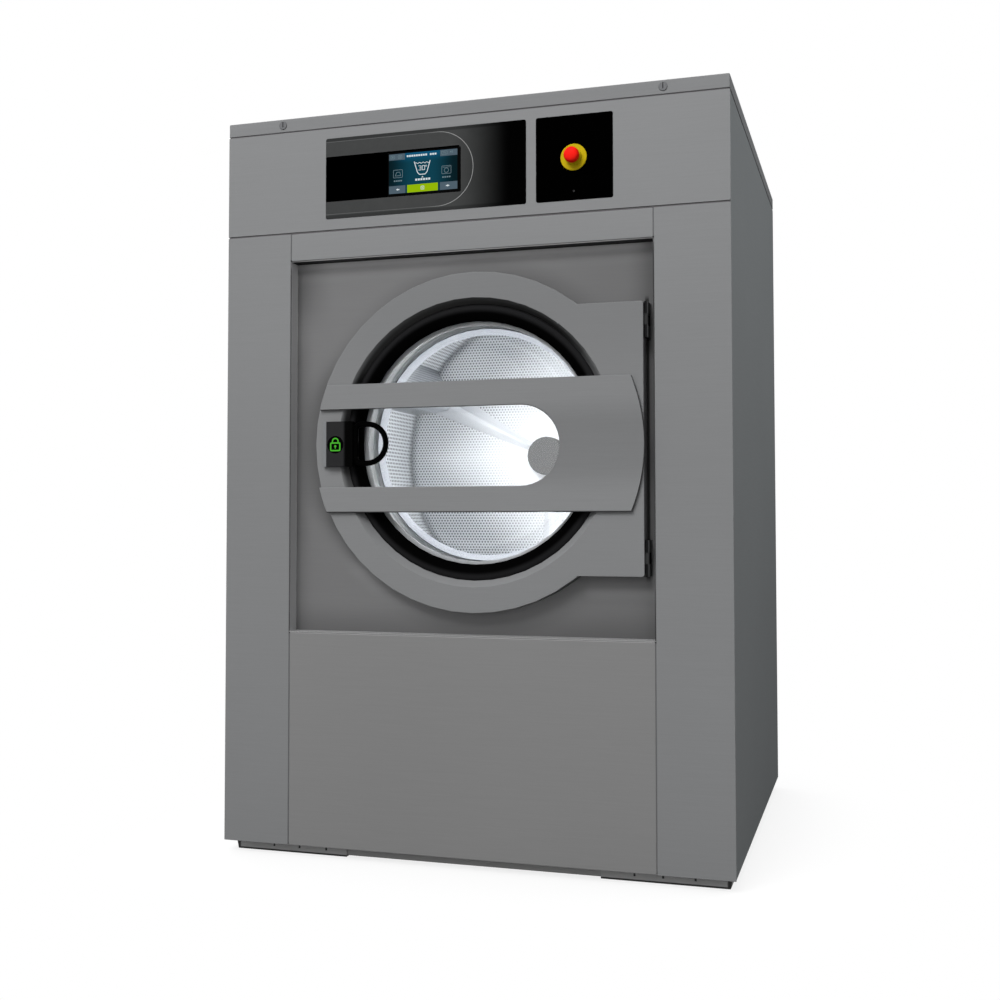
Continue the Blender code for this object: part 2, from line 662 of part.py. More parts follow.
def door_lock_case():
    """The door lock behind the recessed panel, whose bore takes the door's pin."""
    front = RECESS_D + SHEET + FIT
    x = around(LATCH_PIN_C[0], LOCK_CASE_X / 2)
    z = around(DOOR_Z, LOCK_CASE_Z / 2)
    foot_gap = SEAL_FOOT_R + FIT
    case = block("door_lock_case", "black", x, behind_front(front, front + LOCK_CASE_D), z)
    round_edges(case, EDGE_R, 1)
    seal_y = behind_front(front - OVERRUN, front + SEAL_T + FIT)
    cut(case, rod("seal_clearance", "iron", DOOR_C, foot_gap, seal_y, DOOR_ROUND))
    bore_y = behind_front(front - OVERRUN, front + LOCK_BORE_D)
    cut(case, rod("lock_bore", "iron", LATCH_PIN_C, LOCK_BORE_R, bore_y, SMALL_ROUND))


# Door hinges
KNUCKLE_R = 0.004
PIN_R = 0.002
KNUCKLE_H = 0.022
BRACKET_H = 0.072
BRACKET_W = 0.008
BRACKET_T = 0.0027
WEB_T = 0.005


def hinge_levels():
    return around(DOOR_Z, FLANGE_HALF_H - HINGE_BELOW)


def hinge_bracket(name, level):
    """The fixed half of a hinge: a plate on the recessed panel, two knuckles and the pin between them."""
    back = FRONT_Y + RECESS_D - FIT
    x = around(HINGE_X, BRACKET_W / 2)
    bracket = block(name, "zinc", x, (back - BRACKET_T, back), around(level, BRACKET_H / 2))
    for side in (-1, 1):
        near = level + side * (KNUCKLE_H / 2 + FIT)
        far = level + side * BRACKET_H / 2
        z = sorted((near, far))
        web_x = around(HINGE_X, WEB_T / 2)
        fuse(bracket, block(f"{name}_web_{side}", "iron", web_x, (HINGE_Y, back - BRACKET_T / 2), z))
        fuse(bracket, post(f"{name}_knuckle_{side}", "iron", (HINGE_X, HINGE_Y), KNUCKLE_R, z, 16))
    pin_z = around(level, BRACKET_H / 2 - EDGE_R)
    fuse(bracket, post(f"{name}_pin", "iron", (HINGE_X, HINGE_Y), PIN_R, pin_z, 12))


# Door
LIP_DEPTH = 0.014
LIP_END = 0.004
FLANGE_CORNER = 0.005
BRIDGE_DX = 0.0044
BRIDGE_DZ = -0.0092
BRIDGE_OVER = 0.0024
BRIDGE_HALF_H = 0.1358
BRIDGE_SLOT_H = 0.0824
BRIDGE_SLOT_END = 0.1865
BRIDGE_T = 0.0077
BEZEL_CREST = 0.011
BEZEL_SKIRT = 0.006
# Shares of the bezel's width from its outer edge, and of its depth from the lip to the glass
BEZEL_SHARES = (
    (0.0, 0.35), (0.0, 0.0), (0.12, -0.20), (0.36, -0.33), (0.62, -0.02), (0.86, 0.52), (1.0, 1.0),
)
GLASS_T = 0.006
GLASS_RIM_W = 0.009
GLASS_RIM_FRONT = 0.018
GLASS_RIM_BACK = 0.026
BOWL_STEP = 0.012
BOWL_DEPTH = 0.084
BOWL_STEPS = 4
BOWL_FLOOR_SHARE = 0.55
LATCH_W = 0.0613
LATCH_H = 0.096
LATCH_PROUD = 0.0137
LATCH_PIN_TIP = 0.045
PLATE_W = 0.0097
PLATE_T = 0.008
LOOP_R = 0.0412
LOOP_WIRE_R = 0.0060
LOOP_BAR_OUT = 0.0042
LOOP_BOW = 0.0272
LOOP_CORNER = 0.012
GLASS_RIM_R = GLASS_R + GLASS_RIM_W
BOWL_R = GLASS_R - BOWL_STEP
BRIDGE_R = DOOR_R + BRIDGE_OVER
DOOR_AXIS = (HINGE_X, HINGE_Y, DOOR_Z)


def door_outline():
    """The ring's outline about the door's centre, a circle with a square flange on the right."""
    meet = asin(FLANGE_HALF_H / DOOR_R)
    corner = (FLANGE_REACH - FLANGE_CORNER, FLANGE_HALF_H - FLANGE_CORNER)
    points = arc(corner, FLANGE_CORNER, 0, pi / 2, 3)
    points.append((DOOR_R * cos(meet), FLANGE_HALF_H))
    points += [(x, -z) for x, z in points]
    for i in range(DOOR_ROUND):
        turn = 2 * pi * i / DOOR_ROUND
        c, s = cos(turn), sin(turn)
        reach = DOOR_R
        if c > cos(meet):
            reach = FLANGE_REACH / max(c, abs(s) * FLANGE_REACH / FLANGE_HALF_H)
        if reach * c < corner[0] or reach * abs(s) < corner[1]:
            points.append((reach * c, reach * s))
    return sorted(points, key=lambda point: atan2(point[1], point[0]))


def door_frame():
    """The door's pressed ring with its hinge flange, turned back outside and rolled in at the hole."""
    face = FRONT_Y - DOOR_PROUD
    skirt = FRONT_Y + RECESS_D - DOOR_SWEEP_GAP
    lip = face + LIP_DEPTH
    outline = door_outline()
    hole_shares = [LIP_OUTER_R / hypot(x, z) for x, z in outline]
    lip_shares = [LIP_INNER_R / hypot(x, z) for x, z in outline]
    full_shares = [1] * len(outline)
    rows = (
        (full_shares, skirt), (full_shares, face), (hole_shares, face), (lip_shares, lip),
        (lip_shares, lip + LIP_END),
    )
    bm = bmesh.new()
    loops = []
    for shares, y in rows:
        points = [(DOOR_OFFSET + x * share, y, DOOR_Z + z * share) for (x, z), share in zip(outline, shares)]
        loops.append([bm.verts.new(point) for point in points])
    for front, back in zip(loops, loops[1:]):
        for i in range(len(front)):
            j = (i + 1) % len(front)
            bm.faces.new((front[i], front[j], back[j], back[i]))
    frame = add("door_frame", bm, "painted", DOOR_AXIS)
    if frame.data.polygons[len(outline)].normal.y > 0:
        frame.data.flip_normals()
    round_edges(frame, EDGE_R, 2, 60)
    thicken(frame, DOOR_WALL)
    for level in hinge_levels():
        z = around(level, KNUCKLE_H / 2)
        wall = DOOR_OFFSET + FLANGE_REACH - DOOR_WALL / 2
        leaf = block(f"leaf_{level}", "iron", (wall, HINGE_X), (HINGE_Y - WEB_T / 3, HINGE_Y + WEB_T), z)
        fuse(frame, leaf, post(f"door_knuckle_{level}", "iron", (HINGE_X, HINGE_Y), KNUCKLE_R, z, 16))
        bore = post(f"knuckle_bore_{level}", "iron", (HINGE_X, HINGE_Y), PIN_R + FIT, grown(z, OVERRUN), 12)
        cut(frame, bore)
    through = (face - OVERRUN, face + OVERRUN)
    cut(frame, rod("pin_hole", "iron", LATCH_PIN_C, LATCH_PIN_R + FIT, through, SMALL_ROUND))


def door_bezel():
    """The black moulded ring between the door's ring and the glass, bulged towards the front."""
    outer = LIP_INNER_R - FIT
    width = outer - GLASS_R
    lip = LIP_DEPTH - DOOR_PROUD
    back = GLASS_RIM_FRONT - FIT
    rim = GLASS_RIM_R + FIT
    profile = [
        (outer - width * out_share, lip + BEZEL_CREST * in_share)
        for out_share, in_share in BEZEL_SHARES
    ]
    profile += [(GLASS_R, back), (rim, back), (rim, back + BEZEL_SKIRT), (outer, back + BEZEL_SKIRT)]
    profile = [(radius, FRONT_Y + depth) for radius, depth in profile]
    turned("door_bezel", "black", profile, DOOR_C, DOOR_ROUND, origin=DOOR_AXIS)


def door_glass():
    """The glass bowl: a flat rim and a dish that reaches into the drum's mouth."""
    floor_r = BOWL_R * BOWL_FLOOR_SHARE
    reach = BOWL_DEPTH - GLASS_RIM_BACK
    outer = []
    inner = []
    for i in range(BOWL_STEPS + 1):
        turn = pi / 2 * i / BOWL_STEPS
        radius = floor_r + (BOWL_R - floor_r) * cos(turn)
        depth = GLASS_RIM_BACK + reach * sin(turn)
        outer.append((radius, depth))
        inner.append((radius - GLASS_T * cos(turn), depth - GLASS_T * sin(turn)))
    profile = [(0, BOWL_DEPTH)] + outer[::-1]
    profile += [(GLASS_RIM_R, GLASS_RIM_BACK), (GLASS_RIM_R, GLASS_RIM_FRONT)]
    profile += [(BOWL_R - GLASS_T, GLASS_RIM_FRONT)]
    profile += inner + [(0, BOWL_DEPTH - GLASS_T)]
    profile = [(radius, FRONT_Y + depth) for radius, depth in profile]
    turned("door_glass", "glass", profile, DOOR_C, DOOR_ROUND, closed=False, origin=DOOR_AXIS)


def door_bridge():
    """The U-shaped plate across the door, open to the left, whose ends follow the ring's circle."""
    centre = (DOOR_OFFSET + BRIDGE_DX, DOOR_Z + BRIDGE_DZ)
    top = asin(BRIDGE_HALF_H / BRIDGE_R)
    slot = asin(BRIDGE_SLOT_H / BRIDGE_R)
    slot_centre = (DOOR_OFFSET + BRIDGE_SLOT_END - BRIDGE_SLOT_H, centre[1])
    outline = arc(centre, BRIDGE_R, -top, top, 14)
    outline += arc(centre, BRIDGE_R, pi - top, pi - slot, 4)
    outline += arc(slot_centre, BRIDGE_SLOT_H, pi / 2, -pi / 2, 20)
    outline += arc(centre, BRIDGE_R, pi + slot, pi + top, 4)
    back = FRONT_Y - DOOR_PROUD - FIT
    bridge = prism("door_bridge", "painted", outline, "Y", (back - BRIDGE_T, back), DOOR_AXIS)
    round_edges(bridge, EDGE_R / 2, 1)


def latch_block():
    """The black latch block on the ring's left side, with a pin through the door into the lock."""
    x = (LATCH_LEFT, LATCH_LEFT + LATCH_W)
    z = around(DOOR_Z, LATCH_H / 2)
    back = FRONT_Y - DOOR_PROUD - FIT
    front = back - LATCH_PROUD
    body = block("latch_block", "black", x, (front, back), z, DOOR_AXIS)
    round_edges(body, EDGE_R / 2, 2)
    pin_y = (back - LATCH_PROUD / 2, FRONT_Y + LATCH_PIN_TIP)
    fuse(body, rod("latch_pin", "iron", LATCH_PIN_C, LATCH_PIN_R, pin_y, SMALL_ROUND))
    groove = post("loop_groove", "iron", loop_bar(), LOOP_WIRE_R + FIT, grown(z, OVERRUN), SMALL_ROUND)
    cut(body, groove)
    plate_x = (x[0] - FIT - PLATE_W, x[0] - FIT)
    plate = block("latch_plate", "steel", plate_x, (back - PLATE_T, back), z, DOOR_AXIS)
    round_edges(plate, EDGE_R / 3, 1)


def loop_bar():
    """Plan position of the loop's upright bar, on which it swings."""
    return (LATCH_LEFT + LATCH_W + LOOP_BAR_OUT, FRONT_Y - DOOR_PROUD - FIT - LATCH_PROUD / 2)


def latch_loop():
    """The black D-shaped pull, bent from round bar, which swings on its upright side."""
    bar_x, bar_y = loop_bar()
    centre = (bar_x + LOOP_BOW, DOOR_Z)
    points = arc(centre, LOOP_R, -pi / 2, pi / 2, 16)
    for side, start in ((1, pi / 2), (-1, pi)):
        corner = (bar_x + LOOP_CORNER, DOOR_Z + side * (LOOP_R - LOOP_CORNER))
        points += arc(corner, LOOP_CORNER, start, start + pi / 2, 3)
    curve = bpy.data.curves.new("latch_loop", "CURVE")
    curve.dimensions = "3D"
    curve.bevel_depth = LOOP_WIRE_R
    curve.bevel_resolution = 3
    spline = curve.splines.new("POLY")
    spline.points.add(len(points) - 1)
    spline.use_cyclic_u = True
    for point, (x, z) in zip(spline.points, points):
        point.co = Vector((x - bar_x, 0, z - DOOR_Z)).to_4d()
    curve.materials.append(material("latch_loop", "black"))
    loop = bpy.data.objects.new("latch_loop", curve)
    loop.location = (bar_x, bar_y, DOOR_Z)
    bpy.context.scene.collection.objects.link(loop)


# Tub and its carriage
TUB_MOUTH_STEP = 0.009
TUB_COLLAR = 0.012
TUB_DISC = 0.006
TUB_HUB_R = 0.050
HOUSING_R = 0.160
HOUSING_NECK_R = 0.068
HOUSING_FLANGE = 0.014
HOUSING_RIB_T = 0.014
HOUSING_RIBS = 6
SADDLE_T = 0.010
SADDLE_IN_FRONT = 0.138
SADDLE_IN_BACK = 0.100
SADDLE_BELOW = 0.08925
SADDLE_ABOVE = 0.17075
SADDLE_NECK_IN = 0.050
CRADLE_RAIL_W = 0.070
CRADLE_RAIL_H = 0.040
CRADLE_RAIL_BELOW = 0.02925
CRADLE_OVERHANG = 0.050
ROD_R = 0.012
ROD_BOTTOM = 0.120
PISTON_H = 0.030
MOTOR_PLATE_X = 0.110
MOTOR_PLATE_T = 0.010
SPRING_R = 0.036
SPRING_WIRE_R = 0.006
SPRING_TURNS = 4.5
SPRING_POINTS = 8
TUB_MOUTH_R = GLASS_R + TUB_MOUTH_STEP
SADDLE_DEPTHS = (TUB_FRONT + SADDLE_IN_FRONT, TUB_BACK - SADDLE_IN_BACK)
SADDLE_Z = (TUB_BOTTOM - SADDLE_BELOW, TUB_BOTTOM + SADDLE_ABOVE)
CRADLE_RAIL_X = around(STRUT_X, CRADLE_RAIL_W / 2)
CRADLE_RAIL_Z = (TUB_BOTTOM - CRADLE_RAIL_BELOW, TUB_BOTTOM - CRADLE_RAIL_BELOW + CRADLE_RAIL_H)
CRADLE_DEPTHS = grown(STRUT_DEPTHS, CRADLE_OVERHANG)


def tub():
    """The tub: a shell with a hub hole behind, and a front plate with a collar round the mouth."""
    joint = TUB_FRONT + TUB_COLLAR
    shell = [
        (TUB_R, joint), (TUB_R, TUB_BACK), (TUB_HUB_R, TUB_BACK), (TUB_HUB_R, TUB_BACK - TUB_DISC),
        (TUB_R - TUB_WALL, TUB_BACK - TUB_DISC), (TUB_R - TUB_WALL, joint),
    ]
    turned("tub_shell", "steel", [(r, FRONT_Y + d) for r, d in shell], DOOR_C, TUB_ROUND)
    collar_front = TUB_FRONT - TUB_COLLAR
    bend = TUB_FRONT + TUB_WALL
    front = [
        (TUB_MOUTH_R, collar_front), (TUB_MOUTH_R + TUB_WALL, collar_front),
        (TUB_MOUTH_R + TUB_WALL, TUB_FRONT),
        (TUB_R - TUB_COLLAR, TUB_FRONT), (TUB_R, TUB_FRONT + TUB_WALL), (TUB_R, joint - FIT),
        (TUB_R - TUB_WALL, joint - FIT), (TUB_R - TUB_COLLAR, bend), (TUB_MOUTH_R, bend),
    ]
    turned("tub_front", "steel", [(r, FRONT_Y + d) for r, d in front], DOOR_C, TUB_ROUND)


def bearing_housing():
    """The cast housing of the shaft bearings behind the tub, a cone with a flange and radial ribs."""
    start = TUB_BACK + FIT
    bore = SHAFT_R + FIT
    profile = [
        (bore, start), (HOUSING_R, start), (HOUSING_R, start + HOUSING_FLANGE),
        (HOUSING_NECK_R + HOUSING_FLANGE, start + HOUSING_FLANGE), (HOUSING_NECK_R, HOUSING_BACK),
        (bore, HOUSING_BACK),
    ]
    housing = turned("bearing_housing", "iron", [(r, FRONT_Y + d) for r, d in profile], DOOR_C, SHAFT_ROUND)
    for i in range(HOUSING_RIBS):
        turn = 2 * pi * i / HOUSING_RIBS
        near = HOUSING_NECK_R - HOUSING_RIB_T
        far = HOUSING_R - HOUSING_RIB_T
        low = start + HOUSING_FLANGE / 2
        outline = [(near, low), (far, low), (far, start + HOUSING_FLANGE)]
        outline += [(near, HOUSING_BACK - HOUSING_RIB_T)]
        fuse(housing, radial_plate(f"housing_rib_{i}", outline, turn, HOUSING_RIB_T))


def radial_plate(name, outline, turn, thickness):
    """A plate with a (radius, depth) outline, which stands along the radius at the given turn."""
    bm = bmesh.new()
    points = [(radius, FRONT_Y + depth, -thickness / 2) for radius, depth in outline]
    face = bm.faces.new([bm.verts.new(point) for point in points])
    grown_part = bmesh.ops.extrude_face_region(bm, geom=[face])
    moved = [item for item in grown_part["geom"] if isinstance(item, bmesh.types.BMVert)]
    bmesh.ops.translate(bm, verts=moved, vec=(0, 0, thickness))
    place = Matrix.Translation((DOOR_OFFSET, 0, DOOR_Z)) @ Matrix.Rotation(-turn, 4, "Y")
    bmesh.ops.transform(bm, matrix=place, verts=bm.verts)
    return add(name, bm, "iron")


def tub_cradle():
    """The carriage under the tub: two saddles, two side rails, four damper rods and the motor plate."""
    first, second = SADDLE_DEPTHS
    out = CRADLE_RAIL_X[1]
    neck = STRUT_X - SADDLE_NECK_IN
    outline = [
        (-out, CRADLE_RAIL_Z[0]), (-neck, CRADLE_RAIL_Z[0]), (-neck, SADDLE_Z[0]), (neck, SADDLE_Z[0]),
        (neck, CRADLE_RAIL_Z[0]), (out, CRADLE_RAIL_Z[0]), (out, SADDLE_Z[1]), (-out, SADDLE_Z[1]),
    ]
    cradle = prism("tub_cradle", "painted_dark", outline, "Y", behind_front(first, first + SADDLE_T))
    fuse(cradle, prism("saddle_rear", "iron", outline, "Y", behind_front(second, second + SADDLE_T)))
    plate_y = behind_front(first + SADDLE_T / 2, MOTOR_DEPTHS[1])
    plate_z = (SADDLE_Z[0], SADDLE_Z[0] + MOTOR_PLATE_T)
    fuse(cradle, block("motor_plate", "iron", around(DOOR_OFFSET, MOTOR_PLATE_X), plate_y, plate_z))
    for side in (-1, 1):
        rail_x = sorted(side * x for x in CRADLE_RAIL_X)
        rail_y = behind_front(*CRADLE_DEPTHS)
        fuse(cradle, block(f"cradle_rail_{side}", "iron", rail_x, rail_y, CRADLE_RAIL_Z))
    for x, y in STRUTS:
        rod_z = (ROD_BOTTOM, (CRADLE_RAIL_Z[0] + CRADLE_RAIL_Z[1]) / 2)
        strut = post(f"damper_rod_{x}_{y}", "iron", (x, y), ROD_R, rod_z, SMALL_ROUND)
        piston_r = DAMPER_R - DAMPER_WALL - FIT
        piston_z = (ROD_BOTTOM - PISTON_H, ROD_BOTTOM + FIT)
        piston = post(f"piston_{x}_{y}", "iron", (x, y), piston_r, piston_z, SMALL_ROUND)
        fuse(cradle, strut, piston)
    seat_y = behind_front(first - OVERRUN, second + SADDLE_T + OVERRUN)
    cut(cradle, rod("tub_seat", "iron", DOOR_C, TUB_R + FIT, seat_y, TUB_ROUND))


def least_gap(points, apart):
    """The least clear distance between places of a wire that are at least so many points apart."""
    count = len(points)
    pairs = [(i, j) for i in range(count) for j in range(i + apart, count)]
    return min((points[i] - points[j]).length for i, j in pairs) - 2 * SPRING_WIRE_R


def spring(name, x, y):
    """One helical compression spring round a damper, from the base frame to the cradle's rail."""
    radius = SPRING_WIRE_R
    low = BASE_H + radius
    high = CRADLE_RAIL_Z[0] - FIT - radius
    count = round(SPRING_TURNS * SPRING_POINTS)
    curve = bpy.data.curves.new(name, "CURVE")
    curve.dimensions = "3D"
    curve.bevel_depth = radius
    curve.bevel_resolution = 1
    curve.use_fill_caps = True
    spline = curve.splines.new("POLY")
    spline.points.add(count)
    points = []
    for i in range(count + 1):
        turn = 2 * pi * i / SPRING_POINTS
        points.append(Vector((SPRING_R * cos(turn), SPRING_R * sin(turn), (high - low) * i / count)))
        spline.points[i].co = points[i].to_4d()
    print(name, "has a least gap to itself of", round(least_gap(points, SPRING_POINTS // 2), 4), "m")
    curve.materials.append(material(name, "zinc"))
    coil = bpy.data.objects.new(name, curve)
    coil.location = (x, y, low)
    bpy.context.scene.collection.objects.link(coil)


# Drum
DRUM_WALL = 0.003
DRUM_DISC = 0.003
DRUM_CORNER = 0.010
MOUTH_LIP_W = 0.014
MOUTH_LIP_D = 0.018
RIB_IN = 0.012
RIB_W = (0.024, 0.090)
RIB_H = 0.024
RIB_HEIGHT_SHARES = (0.7, 1.0)
RIB_TOP_SHARE = 0.1
RIB_TURN = radians(152.5)
LIFTER_W = 0.130
LIFTER_H = 0.078
LIFTER_T = 0.0025
LIFTER_NOSE = 0.018
LIFTER_ROUND = 0.006
LIFTER_FRONT_SPACE = 0.014
LIFTER_BACK_SPACE = 0.0273
CAP_R = 0.048
CAP_H = 0.040
CAP_SPACE = 0.008
SPIDER_ARM_W = 0.070
SPIDER_ARM_T = 0.016
SPIDER_ARM_IN = 0.018
SPIDER_HUB_R = 0.085
MOUTH_LIP_R = MOUTH_R + MOUTH_LIP_W
MOUTH_LIP_FRONT = DRUM_FRONT - MOUTH_LIP_D
RIB_R = (CAP_R + CAP_SPACE, DRUM_R - RIB_IN)
LIFTER_ENDS = (DRUM_FRONT + LIFTER_FRONT_SPACE, DRUM_BACK - LIFTER_BACK_SPACE)
SPIDER_ARM_R = DRUM_R - SPIDER_ARM_IN
DRUM_AXIS = (DOOR_OFFSET, FRONT_Y, DOOR_Z)
LIFTER_TURNS = [RIB_TURN + 2 * pi * i / 3 for i in range(3)]


def drum_basket():
    """The drum's side wall and front, turned in one piece with a flared, rolled mouth."""
    wall = DRUM_WALL
    bend = DRUM_CORNER + wall
    profile = [
        (DRUM_R, DRUM_FRONT + DRUM_CORNER), (DRUM_R, DRUM_BACK), (DRUM_R - wall, DRUM_BACK),
        (DRUM_R - wall, DRUM_FRONT + bend), (DRUM_R - bend, DRUM_FRONT + wall),
        (MOUTH_R + wall, DRUM_FRONT + wall),
        (MOUTH_R, DRUM_FRONT - wall), (MOUTH_LIP_R - wall, MOUTH_LIP_FRONT),
        (MOUTH_LIP_R, MOUTH_LIP_FRONT + wall),
        (MOUTH_R + wall, DRUM_FRONT), (DRUM_R - DRUM_CORNER, DRUM_FRONT),
    ]
    profile = [(radius, FRONT_Y + depth) for radius, depth in profile]
    turned("drum_basket", "steel", profile, DOOR_C, DRUM_ROUND, origin=DRUM_AXIS)


def drum_back():
    """The drum's back disc with three pressed radial ribs that point at the lifters."""
    front = DRUM_BACK - DRUM_DISC
    radius = DRUM_R - DRUM_WALL - FIT
    disc = rod("drum_back", "steel", DOOR_C, radius, behind_front(front, DRUM_BACK), DRUM_ROUND, DRUM_AXIS)
    for i, turn in enumerate(LIFTER_TURNS):
        fuse(disc, pressed_rib(f"rib_{i}", turn))


def pressed_rib(name, turn):
    """A ridge along one radius that widens outwards."""
    base = FRONT_Y + DRUM_BACK - DRUM_DISC / 2
    crest = FRONT_Y + DRUM_BACK - DRUM_DISC - RIB_H
    bm = bmesh.new()
    ends = []
    for radius, width, height_share in zip(RIB_R, RIB_W, RIB_HEIGHT_SHARES):
        top = base + (crest - base) * height_share
        flat = width * RIB_TOP_SHARE
        corners = [(radius, base, -width / 2), (radius, top, -flat)]
        corners += [(radius, top, flat), (radius, base, width / 2)]
        ends.append([bm.verts.new(point) for point in corners])
    bm.faces.new(ends[0])
    bm.faces.new(ends[1][::-1])
    for i in range(4):
        j = (i + 1) % 4
        bm.faces.new((ends[0][i], ends[0][j], ends[1][j], ends[1][i]))
    place = Matrix.Translation((DOOR_OFFSET, 0, DOOR_Z)) @ Matrix.Rotation(-turn, 4, "Y")
    bmesh.ops.transform(bm, matrix=place, verts=bm.verts)
    return add(name, bm, "steel")


def lifter(name, turn):
    """A lifter folded from sheet, which stands on the drum's side wall along its whole depth."""
    seat = sqrt((DRUM_R - DRUM_WALL - FIT) ** 2 - (LIFTER_W / 2) ** 2) * cos(pi / DRUM_ROUND)
    top = seat - LIFTER_H
    half = LIFTER_W / 2
    shoulder = top + LIFTER_ROUND
    outside = [(top, LIFTER_NOSE / 2), (shoulder, LIFTER_NOSE), (seat, half)]
    inside = [(seat, half - 2 * LIFTER_T), (shoulder + LIFTER_T, LIFTER_NOSE - LIFTER_T)]
    inside.append((top + LIFTER_T, LIFTER_NOSE / 2 - LIFTER_T / 2))
    outside = [(radius, -sideways) for radius, sideways in outside[::-1]] + outside
    inside += [(radius, -sideways) for radius, sideways in inside[::-1]]
    bm = bmesh.new()
    start, end = behind_front(*LIFTER_ENDS)
    face = bm.faces.new([bm.verts.new((radius, start, sideways)) for radius, sideways in outside + inside])
    grown_part = bmesh.ops.extrude_face_region(bm, geom=[face])
    moved = [item for item in grown_part["geom"] if isinstance(item, bmesh.types.BMVert)]
    bmesh.ops.translate(bm, verts=moved, vec=(0, end - start, 0))
    place = Matrix.Translation((DOOR_OFFSET, 0, DOOR_Z)) @ Matrix.Rotation(-turn, 4, "Y")
    bmesh.ops.transform(bm, matrix=place, verts=bm.verts)
    add(name, bm, "steel", DRUM_AXIS)


def hub_cap():
    """The cap over the drum's centre."""
    back = DRUM_BACK - DRUM_DISC - FIT
    front = back - CAP_H
    profile = [(0, front), (CAP_R - EDGE_R, front), (CAP_R, front + EDGE_R), (CAP_R, back), (0, back)]
    profile = [(radius, FRONT_Y + depth) for radius, depth in profile]
    turned("hub_cap", "steel", profile, DOOR_C, SHAFT_ROUND, closed=False, origin=DRUM_AXIS)


def drum_spider():
    """The three-armed spider behind the drum with its shaft."""
    start = DRUM_BACK + FIT
    profile = [
        (0, start), (SPIDER_HUB_R, start), (SPIDER_HUB_R, start + SPIDER_ARM_T),
        (SHAFT_R, start + SPIDER_ARM_T),
        (SHAFT_R, SHAFT_END), (0, SHAFT_END),
    ]
    profile = [(radius, FRONT_Y + depth) for radius, depth in profile]
    spider = turned("drum_spider", "aluminium", profile, DOOR_C, SHAFT_ROUND, closed=False, origin=DRUM_AXIS)
    arm_end = start + SPIDER_ARM_T
    for i, turn in enumerate(LIFTER_TURNS):
        tip = (start + arm_end) / 2
        outline = [(SHAFT_R, start), (SPIDER_ARM_R, start), (SPIDER_ARM_R, tip), (SHAFT_R, arm_end - FIT)]
        fuse(spider, radial_plate(f"spider_arm_{i}", outline, turn, SPIDER_ARM_W))


# Drive
PULLEY_HUB_R = 0.055
PULLEY_RIM = 0.014
PULLEY_WEB = 0.008
PULLEY_HOLES = 5
PULLEY_HOLE_R = 0.038
BELT_T = 0.006
BELT_STEPS = 28
MOTOR_R = 0.100
MOTOR_LEN = 0.280
MOTOR_BEHIND = 0.050
MOTOR_BELL = 0.016
MOTOR_BOSS_R = 0.030
MOTOR_FOOT_DROP = 0.030
MOTOR_SHAFT_R = 0.014
MOTOR_SHAFT_TAIL = 0.009
MOTOR_FOOT_X = 0.070
MOTOR_FINS = 9
FIN_H = 0.008
FIN_T = 0.006
MOTOR_DEPTHS = (TUB_BACK + MOTOR_BEHIND - MOTOR_LEN, TUB_BACK + MOTOR_BEHIND)
MOTOR_SHAFT_END = PULLEY_FRONT + BELT_W + MOTOR_SHAFT_TAIL
MOTOR_AXIS = (MOTOR_C[0], FRONT_Y, MOTOR_C[1])


def drum_pulley():
    """The large pulley on the drum's shaft, with a rim, a web with round holes and a hub."""
    front = PULLEY_FRONT
    back = PULLEY_FRONT + BELT_W
    middle = (front + back) / 2
    bore = SHAFT_R + FIT
    rim = PULLEY_R - PULLEY_RIM
    web = PULLEY_WEB / 2
    profile = [
        (bore, front), (PULLEY_HUB_R, front), (PULLEY_HUB_R, middle - web),
        (rim, middle - web), (rim, front),
        (PULLEY_R, front), (PULLEY_R, back), (rim, back), (rim, middle + web), (bore, middle + web),
    ]
    profile = [(radius, FRONT_Y + depth) for radius, depth in profile]
    wheel = turned("drum_pulley", "iron", profile, DOOR_C, SHAFT_ROUND, origin=DRUM_AXIS)
    hole_centre = (PULLEY_HUB_R + rim) / 2
    for i in range(PULLEY_HOLES):
        turn = 2 * pi * i / PULLEY_HOLES
        centre = (DOOR_OFFSET + hole_centre * cos(turn), DOOR_Z + hole_centre * sin(turn))
        hole = rod(f"pulley_hole_{i}", "iron", centre, PULLEY_HOLE_R, behind_front(front, back), SMALL_ROUND)
        cut(wheel, hole)


